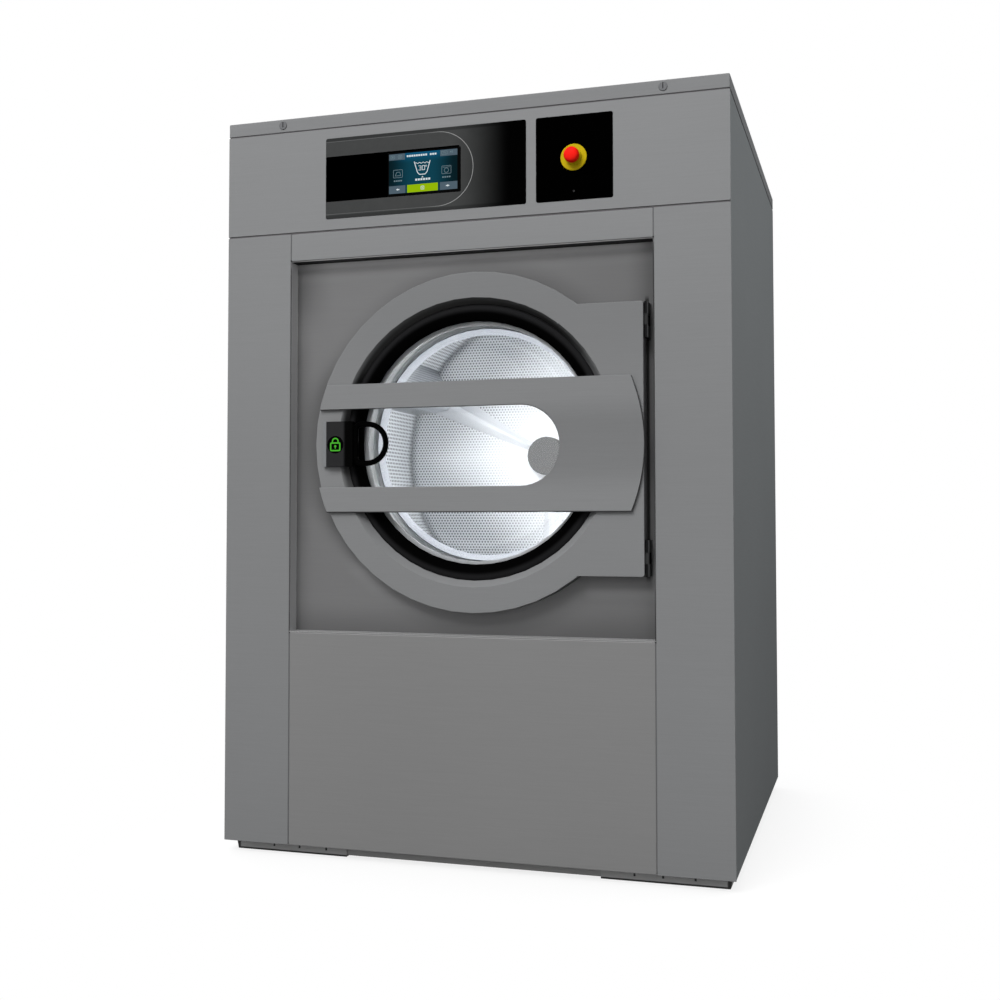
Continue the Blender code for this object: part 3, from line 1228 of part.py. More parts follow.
def motor():
    """The motor under the tub: a finned body with a foot on the cradle's plate, and its own pulley."""
    start, end = MOTOR_DEPTHS
    bell = MOTOR_BELL
    profile = [
        (0, start), (MOTOR_R - bell, start), (MOTOR_R, start + bell), (MOTOR_R, end - bell),
        (MOTOR_R - bell, end),
        (MOTOR_BOSS_R, end), (MOTOR_BOSS_R, end + bell), (MOTOR_SHAFT_R, end + bell),
        (MOTOR_SHAFT_R, MOTOR_SHAFT_END), (0, MOTOR_SHAFT_END),
    ]
    profile = [(radius, FRONT_Y + depth) for radius, depth in profile]
    body = turned("motor", "iron", profile, MOTOR_C, SHAFT_ROUND, closed=False)
    fin_y = grown(behind_front(start, end), -2 * bell)
    for i in range(MOTOR_FINS):
        turn = pi + pi * (i + 0.5) / MOTOR_FINS
        bm = block_mesh(around(MOTOR_R, FIN_H), fin_y, across(FIN_T / 2))
        place = Matrix.Translation((MOTOR_C[0], 0, MOTOR_C[1])) @ Matrix.Rotation(-turn, 4, "Y")
        bmesh.ops.transform(bm, matrix=place, verts=bm.verts)
        fuse(body, add(f"fin_{i}", bm, "iron"))
    foot_z = (MOTOR_C[1] + MOTOR_R - MOTOR_FOOT_DROP, SADDLE_Z[0] - FIT)
    fuse(body, block("motor_foot", "iron", around(MOTOR_C[0], MOTOR_FOOT_X), fin_y, foot_z))
    rim = MOTOR_PULLEY_R
    bore = MOTOR_SHAFT_R + FIT
    front = PULLEY_FRONT
    back = PULLEY_FRONT + BELT_W
    wheel = [(bore, front), (rim, front), (rim, back), (bore, back)]
    wheel = [(radius, FRONT_Y + depth) for radius, depth in wheel]
    turned("motor_pulley", "iron", wheel, MOTOR_C, SHAFT_ROUND, origin=MOTOR_AXIS)


def belt_path(gap):
    """The belt's loop round both pulleys at the given distance outside their rims."""
    lean = asin((PULLEY_R - MOTOR_PULLEY_R) / (DOOR_Z - MOTOR_Z))
    large_turn = pi + 2 * lean
    small_turn = pi - 2 * lean
    large = (PULLEY_R + gap) / cos(large_turn / BELT_STEPS / 2)
    small = (MOTOR_PULLEY_R + gap) / cos(small_turn / BELT_STEPS)
    points = arc(DOOR_C, large, -lean, pi + lean, BELT_STEPS)
    points += arc(MOTOR_C, small, pi + lean, 2 * pi - lean, BELT_STEPS // 2)
    return points


def drive_belt():
    """The flat drive belt round both pulleys."""
    outer = belt_path(FIT + BELT_T)
    inner = belt_path(FIT)
    depth = behind_front(PULLEY_FRONT, PULLEY_FRONT + BELT_W)
    bm = bmesh.new()
    loops = []
    for points in (outer, inner):
        loops.append([bm.verts.new((x, depth[0], z)) for x, z in points])
    count = len(outer)
    for i in range(count):
        j = (i + 1) % count
        bm.faces.new((loops[0][i], loops[0][j], loops[1][j], loops[1][i]))
    grown_part = bmesh.ops.extrude_face_region(bm, geom=list(bm.faces))
    moved = [item for item in grown_part["geom"] if isinstance(item, bmesh.types.BMVert)]
    bmesh.ops.translate(bm, verts=moved, vec=(0, depth[1] - depth[0], 0))
    add("drive_belt", bm, "rubber")


# Connections at the rear
INLET_BODY_R = 0.018
INLET_FLANGE_R = 0.021
INLET_FLANGE_T = 0.004
INLET_BORE_R = 0.009
INLET_BODY_L = 0.040
STUB_L = 0.022
GLAND_NUT_R = 0.018
GLAND_BORE_R = 0.006
VALVE_X = 0.060
VALVE_SPACE = 0.0308
VALVE_D = 0.070
VALVE_TOP = 0.205
DRAIN_WALL = 0.003


def rear_fitting(name, finish, centre, radii, bore):
    """A fitting through the rear panel: body inside, flange outside and a hollow stub that sticks out."""
    body_r, neck_r, flange_r = radii
    inside = REAR_Y - SHEET - FIT
    outside = REAR_Y + FIT
    end = outside + INLET_FLANGE_T + STUB_L - FIT
    profile = [
        (0, inside - INLET_BODY_L), (body_r, inside - INLET_BODY_L), (body_r, inside), (neck_r, inside),
        (neck_r, outside), (flange_r, outside), (flange_r, outside + INLET_FLANGE_T),
        (neck_r, outside + INLET_FLANGE_T), (neck_r, end),
        (bore, end), (bore, inside - INLET_BODY_L / 2), (0, inside - INLET_BODY_L / 2),
    ]
    turned(name, finish, profile, centre, SMALL_ROUND, closed=False)


def drain_valve():
    """The drain valve on the rear rail of the base frame, with its outlet through the rear panel."""
    valve_z = (BASE_H, VALVE_TOP)
    start = REAR_Y - VALVE_SPACE
    valve = block("drain_valve", "black", around(DRAIN_X, VALVE_X), (start - VALVE_D, start), valve_z)
    round_edges(valve, EDGE_R, 1)
    centre = (DRAIN_X, DRAIN_Z)
    end = BACK_Y - SHEET
    fuse(valve, rod("drain_outlet", "black", centre, DRAIN_R, (start - OVERRUN, end), SMALL_ROUND))
    cut(valve, rod("drain_bore", "black", centre, DRAIN_R - DRAIN_WALL, (start, end + OVERRUN), SMALL_ROUND))


def cabinet():
    base_frame()
    for side, hand in ((-1, "left"), (1, "right")):
        foot_shoe(f"foot_front_{hand}", side, True)
        foot_shoe(f"foot_rear_{hand}", side, False)
    front_panels()
    rear_panel()
    control_fascia()
    control_box()
    door_surround()
    door_seal()
    door_lock_case()
    for name, level in zip(("hinge_bracket_lower", "hinge_bracket_upper"), hinge_levels()):
        hinge_bracket(name, level)
    for name, x in zip(("water_inlet_cold", "water_inlet_hot"), INLET_X):
        rear_fitting(name, "brass", (x, INLET_Z), (INLET_BODY_R, INLET_R, INLET_FLANGE_R), INLET_BORE_R)
    gland_radii = (GLAND_NUT_R, GLAND_R, GLAND_NUT_R)
    rear_fitting("cable_gland", "black", (GLAND_X, INLET_Z), gland_radii, GLAND_BORE_R)
    drain_valve()


def controls():
    touch_panel()
    stop_button()


def door():
    door_frame()
    door_bezel()
    door_glass()
    door_bridge()
    latch_block()
    latch_loop()


def sprung_group():
    tub()
    bearing_housing()
    tub_cradle()
    for index, (x, y) in enumerate(STRUTS):
        spring(f"spring_{index + 1}", x, y)
    motor()
    drive_belt()


def drum():
    drum_basket()
    drum_back()
    for index, turn in enumerate(LIFTER_TURNS):
        lifter(f"lifter_{index + 1}", turn)
    hub_cap()
    drum_spider()
    drum_pulley()


clear_scene()
cabinet()
controls()
lid()
for lock_name, lock_centre in zip(("lid_lock_left", "lid_lock_right"), LOCK_C):
    lid_lock(lock_name, lock_centre)
door()
sprung_group()
drum()
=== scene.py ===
import math

import bmesh
import bpy
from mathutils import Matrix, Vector


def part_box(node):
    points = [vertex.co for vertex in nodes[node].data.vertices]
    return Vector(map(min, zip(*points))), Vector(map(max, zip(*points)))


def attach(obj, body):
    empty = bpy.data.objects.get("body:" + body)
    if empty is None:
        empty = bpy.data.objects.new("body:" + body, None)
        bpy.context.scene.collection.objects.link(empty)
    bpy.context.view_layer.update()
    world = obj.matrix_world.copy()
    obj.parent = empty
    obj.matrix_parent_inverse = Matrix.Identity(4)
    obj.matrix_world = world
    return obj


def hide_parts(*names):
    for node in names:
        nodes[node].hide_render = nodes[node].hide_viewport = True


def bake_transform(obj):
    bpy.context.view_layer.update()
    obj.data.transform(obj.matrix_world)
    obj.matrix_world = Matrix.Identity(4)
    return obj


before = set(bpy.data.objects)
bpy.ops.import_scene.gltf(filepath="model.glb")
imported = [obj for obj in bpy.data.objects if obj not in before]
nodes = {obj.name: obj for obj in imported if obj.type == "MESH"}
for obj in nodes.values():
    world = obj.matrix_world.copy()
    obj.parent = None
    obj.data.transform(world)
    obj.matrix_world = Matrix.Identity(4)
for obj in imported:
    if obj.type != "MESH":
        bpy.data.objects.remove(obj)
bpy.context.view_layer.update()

# Places of the CAD that the materials and marks follow, in metres
AXIS_X, AXIS_Z = 0.021, 0.87925
DRUM_R = 0.378
FACE_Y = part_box("display")[0].y
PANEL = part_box("touch_panel")
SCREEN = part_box("display")
LOCK_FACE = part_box("lid_lock_left")[0].y
BLOCK_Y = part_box("latch_block")[0].y


def tint(code, gain=1.0):
    """A display colour such as "8DB000" as linear values."""
    values = [int(code[i:i + 2], 16) / 255 for i in (0, 2, 4)]
    linear = [v / 12.92 if v <= 0.04045 else ((v + 0.055) / 1.055) ** 2.4 for v in values]
    return (*[v * gain for v in linear], 1.0)


BLACK = tint("000000")
WHITE = tint("FFFFFF")


class Nodes:
    """The shader nodes of one material or world."""

    def __init__(self, owner):
        self.owner = owner
        owner.use_nodes = True
        self.tree = owner.node_tree
        self.tree.nodes.clear()
        self.place = None

    def make(self, kind, values=(), **settings):
        """A new node, its inputs set or linked by number or by name."""
        node = self.tree.nodes.new("ShaderNode" + kind)
        for key, value in settings.items():
            setattr(node, key, value)
        for key, value in values.items() if isinstance(values, dict) else enumerate(values):
            if isinstance(value, bpy.types.NodeSocket):
                self.tree.links.new(value, node.inputs[key])
            elif value is not None:
                node.inputs[key].default_value = value
        return node

    def math(self, operation, *values, clamp=False):
        return self.make("Math", values, operation=operation, use_clamp=clamp).outputs[0]

    def vector(self, operation, *values):
        node = self.make("VectorMath", values, operation=operation)
        return node.outputs["Value" if operation == "LENGTH" else "Vector"]

    def product(self, first, *others):
        for other in others:
            first = self.math("MULTIPLY", first, other)
        return first

    def rest_of(self, share):
        return self.math("SUBTRACT", 1.0, share)

    def away(self, value, middle):
        """How far a value is from a middle one, either way."""
        return self.math("ABSOLUTE", self.math("SUBTRACT", value, middle))

    def split(self, place=None):
        return self.make("SeparateXYZ", [place or self.place]).outputs

    def join(self, x, y, z=0.0):
        return self.make("CombineXYZ", [x, y, z]).outputs[0]

    def noise(self, scale, detail=3.0, roughness=0.5):
        """Noise with its waves per metre, the same along all axes or one number for each."""
        scales = (scale,) * 3 if isinstance(scale, float) else scale
        stretched = self.vector("MULTIPLY", self.place, scales)
        values = {"Vector": stretched, "Scale": 1.0, "Detail": detail, "Roughness": roughness}
        return self.make("TexNoise", values).outputs["Fac"]

    def span(self, value, low, high, to_low=0.0, to_high=1.0, curve="SMOOTHSTEP"):
        """A value that turns from to_low to to_high while another goes from low to high."""
        ends = {"From Min": low, "From Max": high, "To Min": to_low, "To Max": to_high}
        node = self.make("MapRange", {"Value": value, **ends}, interpolation_type=curve)
        return node.outputs["Result"]

    def mix(self, factor, first, second):
        return self.make("Mix", {0: factor, 6: first, 7: second}, data_type="RGBA").outputs[2]

    def bump(self, height, strength, distance):
        values = {"Strength": strength, "Distance": distance, "Height": height}
        return self.make("Bump", values).outputs["Normal"]

    def either(self, share, first, second):
        """A shader that is the first where the share is 0 and the second where it is 1."""
        return self.make("MixShader", [share, first.outputs[0], second.outputs[0]])

    def output(self, kind, shader):
        self.make(kind, {"Surface": shader.outputs[0]})
        return self.owner


class Finish(Nodes):
    """One material, with its object's coordinates as the place."""

    def __init__(self, name):
        super().__init__(bpy.data.materials.new(name))
        self.place = self.make("TexCoord").outputs["Object"]

    def facing(self):
        """The way the surface faces, along X, Y and Z."""
        return self.split(self.make("TexCoord").outputs["Normal"])

    def reach(self):
        """The distance from the axis of the drum and the door."""
        x, _, z = self.split()
        across = self.math("SUBTRACT", x, AXIS_X)
        return self.vector("LENGTH", self.join(across, self.math("SUBTRACT", z, AXIS_Z)))

    def together(self, shares):
        """What several shares of shade take away together."""
        left = 1.0
        for share in shares:
            left = self.math("MULTIPLY", left, self.rest_of(share))
        return self.rest_of(left)

    def done(self, **values):
        named = {key.replace("_", " "): value for key, value in values.items()}
        return self.output("OutputMaterial", self.make("BsdfPrincipled", named))


def painted(name, code, along, roughness=0.40, specular=0.2, shade_of=None, under=0.85):
    """Satin grey coating with a fine grain along one axis.

    Faces that look down get painted shade, darker by the share under, and others get painted shade
    where shade_of says.
    """
    n = Finish(name)
    scale = [420.0, 420.0, 420.0]
    scale[along] = 9.0
    grain = n.noise(scale, 4.0, 0.65)
    patches = n.noise(1.7, 2.0)
    speckle = n.noise(900.0, 2.0)
    uneven = n.math("MULTIPLY_ADD", patches, 0.7, -0.30)
    uneven = n.math("MULTIPLY_ADD", grain, 0.9, uneven, clamp=True)
    colour = n.mix(uneven, tint(code, 0.93), tint(code, 1.07))
    height = n.math("MULTIPLY_ADD", grain, 0.7, n.math("MULTIPLY", speckle, 0.3))
    # Painted shade on faces that look down
    colour = n.mix(n.span(n.facing()[2], -0.25, -0.75, 0.0, under), colour, BLACK)
    # Painted shade where shade_of says
    if shade_of:
        colour = n.mix(shade_of(n), colour, BLACK)
    return n.done(
        Base_Color=colour,
        Roughness=n.span(grain, 0.3, 0.7, roughness - 0.05, roughness + 0.08),
        Normal=n.bump(height, 0.08, 0.0004),
        Specular_IOR_Level=specular,
    )


# Soft bands of painted shade, and of painted light where lift takes shade away: where each starts
# and ends, then its share at either end.
# reach is the distance from the door's axis, and face is the way that a surface looks.
RECESS_BANDS = {
    "under_ring_reach": (0.415, 0.350),
    "under_ring_z": (0.66, 0.60),
    "under_flange_low": (0.540, 0.585),
    "under_flange_x": (0.20, 0.26, 0.0, 0.9),
    "under_flange_high": (0.66, 0.61),
    "lift": (0.0, 1.0, 1.0, 0.62),
    "body_z": (1.257, 1.273, 0.60, 0.0),
    "upper_z": (1.230, 1.258, 0.225, 0.0),
    "right_edge_x": (0.330, 0.398, 0.0, 0.30),
    "right_edge_z": (1.00, 1.20, 0.3, 1.0),
    "right_half_x": (0.0, 0.38, 0.0, 0.16),
    "left_x": (-0.350, -0.398),
    "left_low_z": (0.60, 0.72, 0.15, 0.25),
    "left_high_z": (1.05, 1.15, 1.0, 0.60),
    "corner_x": (-0.300, -0.396, 0.0, 0.36),
    "corner_z": (1.11, 1.23),
    "low_z": (0.550, 0.480, 0.0, 0.28),
    "ring_reach": (0.400, 0.345),
    "ring_top_z": (1.15, 1.22, 0.14, 0.24),
    "ring_low_z": (0.62, 0.75),
    "beside_reach": (0.350, 0.285, 0.0, 0.38),
    "beside_z": (0.24, 0.12),
    "flange_low": (0.592, 0.606),
    "flange_high": (1.172, 1.158),
    "flange_right": (0.3835, 0.3805),
    "flange_left": (0.372, 0.376, 0.0, 0.85),
    "under_face": (-0.3, -0.8, 0.0, 0.97),
    "rim_y": (-0.484, -0.488),
    "rim_face": (-0.3, -0.7, 0.0, 0.60),
    "wall_face": (0.5, 0.8, 1.0, 0.0),
    "ledge_z": (0.4808, 0.4804),
}
BESIDE_Z, BESIDE_LEAN = 0.87, 0.2
LEDGE_SHADE = 0.45


def recess_shade(n):
    """Painted shade along the walls of the recess, round the door ring and behind its flange, on a
    light paint that shows as painted light where little shade is painted: on the side walls, the
    top strip, the ledge and under the ring and flange.
    """
    def band(value, name):
        return n.span(value, *RECESS_BANDS[name])

    x, y, z = n.split()
    face_x, face_y, face_z = n.facing()
    reach = n.reach()
    under_ring = n.product(band(reach, "under_ring_reach"), band(z, "under_ring_z"))
    under_flange = n.product(
        band(z, "under_flange_low"), band(x, "under_flange_x"), band(z, "under_flange_high"))
    # Painted light: less painted shade under the ring and the flange, where the lamps cast their
    # shadows
    lift = band(n.math("MAXIMUM", under_ring, under_flange), "lift")
    right = n.math(
        "MULTIPLY_ADD", band(x, "right_edge_x"), band(z, "right_edge_z"), band(x, "right_half_x"))
    beside = n.math("MULTIPLY_ADD", x, BESIDE_LEAN, reach)
    shares = (
        n.product(band(z, "body_z"), lift),
        band(z, "upper_z"),
        right,
        n.product(band(x, "left_x"), band(z, "left_low_z"), band(z, "left_high_z")),
        n.product(band(x, "corner_x"), band(z, "corner_z")),
        band(z, "low_z"),
        n.product(band(reach, "ring_reach"), band(z, "ring_top_z"), band(z, "ring_low_z")),
        n.product(band(beside, "beside_reach"), band(n.away(z, BESIDE_Z), "beside_z")),
        n.product(
            band(z, "flange_low"), band(z, "flange_high"),
            band(x, "flange_right"), band(x, "flange_left")),
        band(face_z, "under_face"),
        n.product(band(y, "rim_y"), band(face_y, "rim_face")),
    )
    # The ledge and the bottom rim take one fixed share of painted shade
    ledge = band(z, "ledge_z")
    shade = n.product(n.together(shares), band(face_x, "wall_face"), n.rest_of(ledge))
    return n.math("MULTIPLY_ADD", ledge, LEDGE_SHADE, shade)


SLOT_Z = 0.870


def bridge_shade(n):
    """Painted shade on the bridge: a little darker beside its slot and towards its top, a dark
    line along its lower edge, and its slanting right end in shade.
    """
    x, _, z = n.split()
    middle = n.span(n.away(z, SLOT_Z), 0.105, 0.040, 0.0, 0.16)
    middle = n.product(middle, n.span(x, 0.10, 0.16))
    upper = n.span(z, 0.80, 0.92, 0.0, 0.05)
    end = n.span(n.facing()[0], 0.3, 0.7, 0.0, 0.75)
    foot = n.span(z, 0.7375, 0.7360, 0.0, 0.55)
    return n.together((middle, upper, end, foot))


RING_R, RING_HOLE_R = 0.34, 0.30


def ring_shade(n):
    """Painted shade on the dished door ring: a little darker towards its top, its lip shaded at
    the top and left, and its hinge knuckle dark.
    """
    x, _, z = n.split()
    up = n.math("DIVIDE", n.math("SUBTRACT", z, AXIS_Z), RING_R)
    top = n.span(up, -0.1, 0.9, 0.0, 0.16)
    reach = n.reach()
    lip = n.product(n.span(reach, 0.3010, 0.2900), n.span(reach, 0.2760, 0.2800))
    across = n.math("DIVIDE", n.math("SUBTRACT", x, AXIS_X), RING_HOLE_R)
    away = n.span(n.math("MULTIPLY_ADD", across, -0.45, up), -0.40, 0.45, 0.0, 0.97)
    # Painted shade: the hinge knuckle dark
    knuckle = n.span(x, 0.3772, 0.3778, 0.0, 0.88)
    return n.together((top, n.product(lip, away), knuckle))


def side_shade(n):
    """Painted shade: the sides darken towards the floor."""
    return n.span(n.split()[2], 1.50, 0.05, 0.0, 0.24)


def service_shade(n):
    """Painted shade on all of the service panel but its upper edge, which its lighter paint keeps
    as a painted highlight.
    """
    return n.span(n.split()[2], 0.4772, 0.4758, 0.0, 0.42)


def moulded(name, code, roughness=0.35, specular=0.3, relief=0.05, scale=700.0, vary=0.12):
    """Moulded plastic with a fine spark texture and uneven gloss."""
    n = Finish(name)
    spark = n.noise(scale, 3.0, 0.6)
    cloud = n.noise(14.0)
    colour = n.mix(cloud, tint(code, 1 - vary), tint(code, 1 + vary))
    return n.done(
        Base_Color=colour,
        Roughness=n.span(cloud, 0.3, 0.7, roughness - 0.04, roughness + 0.06),
        Normal=n.bump(spark, relief, 0.0003),
        Specular_IOR_Level=specular,
    )


def metal(name, code, roughness, stretch, relief=0.06, metallic=0.95, vary=0.08):
    """Bare metal with a drawn or ground grain."""
    n = Finish(name)
    grain = n.noise(stretch, 4.0, 0.6)
    stain = n.noise(9.0, 4.0, 0.6)
    uneven = n.math("MULTIPLY_ADD", grain, 0.5, n.math("MULTIPLY", stain, 0.5))
    colour = n.mix(uneven, tint(code, 1 - vary), tint(code, 1 + vary * 0.6))
    return n.done(
        Base_Color=colour,
        Metallic=metallic,
        Roughness=n.span(stain, 0.3, 0.7, roughness - 0.06, roughness + 0.08),
        Normal=n.bump(grain, relief, 0.0003),
    )


def cast(name, code, roughness=0.6, metallic=0.5):
    """Sand-cast metal with a pebbled skin."""
    n = Finish(name)
    skin = n.noise(260.0, 5.0, 0.65)
    stain = n.noise(12.0, 4.0)
    return n.done(
        Base_Color=n.mix(stain, tint(code, 0.8), tint(code, 1.15)),
        Metallic=metallic,
        Roughness=n.span(skin, 0.3, 0.7, roughness - 0.08, roughness + 0.1),
        Normal=n.bump(skin, 0.35, 0.0006),
    )


def galvanised(name):
    """Zinc coating with its crystal flakes."""
    n = Finish(name)
    crystals = n.make("TexVoronoi", {"Vector": n.place, "Scale": 70.0}).outputs["Color"]
    flake = n.make("SeparateColor", [crystals]).outputs[0]
    fine = n.noise(500.0)
    return n.done(
        Base_Color=n.mix(flake, tint("8E9499"), tint("B4B9BD")),
        Metallic=0.85,
        Roughness=n.span(flake, 0.0, 1.0, 0.34, 0.5),
        Normal=n.bump(fine, 0.08, 0.0003),
    )


def rubber(name, code="17181A", groove_pitch=None):
    """Dull rubber, with moulded grooves along Y where a pitch is given."""
    n = Finish(name)
    skin = n.noise(420.0, 4.0, 0.6)
    height = skin
    if groove_pitch:
        wave = n.math("SINE", n.math("MULTIPLY", n.split()[1], 2 * math.pi / groove_pitch))
        height = n.math("MULTIPLY_ADD", wave, 1.5, skin)
    return n.done(
        Base_Color=n.mix(skin, tint(code, 0.8), tint(code, 1.3)),
        Roughness=n.span(skin, 0.3, 0.7, 0.6, 0.75),
        Normal=n.bump(height, 0.25, 0.0005),
        Specular_IOR_Level=0.25,
    )


def hole_distance(n, u, v, pitch):
    """How far a point is from the nearest hole centre of a staggered pattern."""
    row = pitch * math.sqrt(3)
    place = n.vector("DIVIDE", n.join(u, v), (pitch, row, 1.0))
    found = []
    for shift in (0.0, 0.5):
        cell = n.vector("FRACTION", n.vector("ADD", place, (shift, shift, 0.0)))
        offset = n.vector("SUBTRACT", cell, (0.5, 0.5, 0.0))
        found.append(n.vector("LENGTH", n.vector("MULTIPLY", offset, (pitch, row, 0.0))))
    return n.math("MINIMUM", *found)


# The drum's sheets: how many holes go round, where they begin, and the painted shade in the crease
# at a sheet's end.
# The edges of a hole and of its lip are shares of the pitch.
HOLES_ROUND = {"wall": 131, "back": 175, "lifter": 175}
HOLE_FIELD = {"wall": (0.366, 0.370), "lifter": (0.300, 0.312)}
BACK_FIELD = ((0.070, 0.130), (0.374, 0.372))
BACK_FACE = (0.1262, 0.1268)
CREASE_SHADE = {"wall": (0.092, 0.122), "back": (0.355, 0.374), "lifter": (0.345, 0.372)}
HOLE_EDGE, LIP_EDGE = (0.36, 0.20), (0.46, 0.30)
SHOWN_LEAN, SHOWN_ACROSS = -0.9, (-0.37, -0.10, 1.0, 0.12)
MOUTH_FACE = (-0.380, -0.384)
MOUTH_LINES = ((0.2490, 0.0022, 0.0008), (0.2640, 0.0030, 0.0005, 0.0, 0.5))


def perforated(name, part):
    """Bright stainless sheet of the drum with staggered holes: its wall, its back or a lifter."""
    n = Finish(name)
    x, y, z = n.split()
    across = n.math("SUBTRACT", x, AXIS_X)
    up = n.math("SUBTRACT", z, AXIS_Z)
    reach = n.vector("LENGTH", n.join(across, up))
    pitch = 2 * math.pi * DRUM_R / (HOLES_ROUND[part] * math.sqrt(3))
    if part == "wall":
        angle = n.math("ARCTAN2", up, across)
        far = hole_distance(n, y, n.math("MULTIPLY", angle, DRUM_R), pitch)
    else:
        far = hole_distance(n, across if part == "back" else y, up, pitch)
    if part == "back":
        field = n.product(*[n.span(reach, *edge) for edge in BACK_FIELD], n.span(y, *BACK_FACE))
    else:
        field = n.span(reach, *HOLE_FIELD[part])
    crease_shade = n.span(y if part == "wall" else reach, *CREASE_SHADE[part])
    # Painted shade and glare: holes and a painted grey shade show most on the left, and fade out
    # into a painted glare beside the middle
    slant = n.math("MULTIPLY_ADD", n.math("ABSOLUTE", up), SHOWN_LEAN, across)
    out_of_glare = n.span(slant, *SHOWN_ACROSS)
    hole = n.product(n.span(far, *[pitch * share for share in HOLE_EDGE]), field, out_of_glare)
    lip = n.product(n.span(far, *[pitch * share for share in LIP_EDGE]), field)
    cloud = n.noise(5.0, 2.0)
    grain = n.noise((60.0, 60.0, 500.0))
    sheet = n.mix(cloud, tint("E3E6EA"), tint("F6F8FA"))
    grey = n.product(out_of_glare, out_of_glare, 0.15 if part == "wall" else 0.6)
    sheet = n.mix(grey, sheet, tint("9A9EA4"))
    # Painted shade in the crease at a sheet's end, most on the left
    sheet = n.mix(n.product(crease_shade, out_of_glare, 0.6), sheet, tint("6C7176"))
    mouth = n.span(y, *MOUTH_FACE)
    # Painted light and shade at the drum's mouth: its inner rim toned darker and the face beyond
    # it paler, and two dark rings that are partly painted shade
    if part == "wall":
        lines = n.math("MAXIMUM", *[
            n.span(n.away(reach, radius), *band) for radius, *band in MOUTH_LINES])
        rim = n.mix(n.noise(160.0, 2.0), tint("8A8E95"), tint("9A9EA5"))
        rim = n.mix(n.span(reach, 0.2480, 0.2510), rim, tint("F2F4F6"))
        sheet = n.mix(mouth, sheet, rim)
        sheet = n.mix(n.product(lines, mouth), sheet, tint("74787D"))
    dull = n.math("MAXIMUM", hole, n.span(y, -0.370, -0.384))
    height = n.math("MULTIPLY_ADD", lip, -1.0, n.math("MULTIPLY", grain, 0.05))
    return n.done(
        Base_Color=n.mix(hole, sheet, tint("3C4044" if part == "wall" else "4C5156")),
        Metallic=n.span(dull, 0.0, 1.0, 0.45, 0.0),
        Roughness=n.span(cloud, 0.3, 0.7, 0.28, 0.38),
        Normal=n.bump(height, 0.35, 0.0012),
    )


def gloss_panel(name):
    """Glass-smooth black front whose grey tone fades out towards its right end, with fine dust."""
    n = Finish(name)
    x, _, z = n.split()
    middle = (PANEL[0].z + PANEL[1].z) / 2
    edge = n.span(n.away(z, middle), 0.079, 0.082)
    fade = n.span(x, -0.035, 0.100)
    dust = n.noise(60.0)
    grey = n.mix(dust, tint("3B3C3C"), tint("414242"))
    grey = n.mix(edge, grey, tint("313232"))
    return n.done(
        Base_Color=n.mix(fade, grey, tint("020202")),
        Roughness=n.span(dust, 0.3, 0.7, 0.20, 0.28),
        Normal=n.bump(n.noise(900.0, 2.0), 0.02, 0.0002),
        Specular_IOR_Level=0.0,
    )


def line_print(name):
    """Pale printed line, fainter along its straight parts than round its bend."""
    n = Finish(name)
    grain = n.noise(600.0, 2.0)
    colour = n.mix(n.span(n.split()[0], -0.09, -0.03), tint("5C5D5D"), tint("989999"))
    return n.done(
        Base_Color=n.mix(n.math("MULTIPLY", grain, 0.2), colour, tint("404040")),
        Roughness=n.span(grain, 0.3, 0.7, 0.35, 0.45),
        Specular_IOR_Level=0.0,
    )


PIXEL_ROW = 0.0008
UNLIT = 0.85
FIELD_U, FIELD_V = (0.014, 0.955), (0.063, 0.963)


def pixel_rows(n):
    """A wave of one pixel row's height, from -1 to 1."""
    return n.math("SINE", n.math("MULTIPLY", n.split()[2], 2 * math.pi / PIXEL_ROW))


def screen(name):
    """The lit display: a teal field that is brighter at the top and darker at both sides."""
    n = Finish(name)
    x, _, z = n.split()
    low, high = SCREEN
    u = n.math("DIVIDE", n.math("SUBTRACT", x, low.x), high.x - low.x)
    v = n.math("DIVIDE", n.math("SUBTRACT", z, low.z), high.z - low.z)
    side = n.span(n.away(u, 0.47), 0.12, 0.46)
    top = n.span(v, 0.72, 0.98)
    field = n.mix(side, tint("083E4E"), tint("011A21"))
    field = n.mix(n.product(top, n.rest_of(side)), field, tint("0B5578"))
    field = n.mix(n.math("MULTIPLY_ADD", pixel_rows(n), 0.05, 0.05), field, BLACK)
    # A dark frame stays round the lit field
    framed = 0.0
    for value, start, end in ((u, *FIELD_U), (v, *FIELD_V)):
        framed = n.math("MAXIMUM", framed, n.math("LESS_THAN", value, start))
        framed = n.math("MAXIMUM", framed, n.math("GREATER_THAN", value, end))
    field = n.mix(framed, field, tint("010101"))
    return n.done(
        Base_Color=n.mix(UNLIT, field, BLACK),
        Emission_Color=field,
        Emission_Strength=0.85,
        Roughness=0.16,
        Normal=n.bump(n.noise(300.0, 2.0), 0.01, 0.0001),
        Specular_IOR_Level=0.03,
    )


def lit(name, code, glow=0.9):
    """A lit area of the display, with its pixel rows."""
    n = Finish(name)
    rows = n.math("MULTIPLY_ADD", pixel_rows(n), 0.5, 0.5)
    colour = n.mix(rows, tint(code, 0.92), tint(code, 1.06))
    return n.done(
        Base_Color=n.mix(UNLIT, colour, BLACK),
        Emission_Color=colour,
        Emission_Strength=glow,
        Roughness=0.25,
        Specular_IOR_Level=0.03,
    )


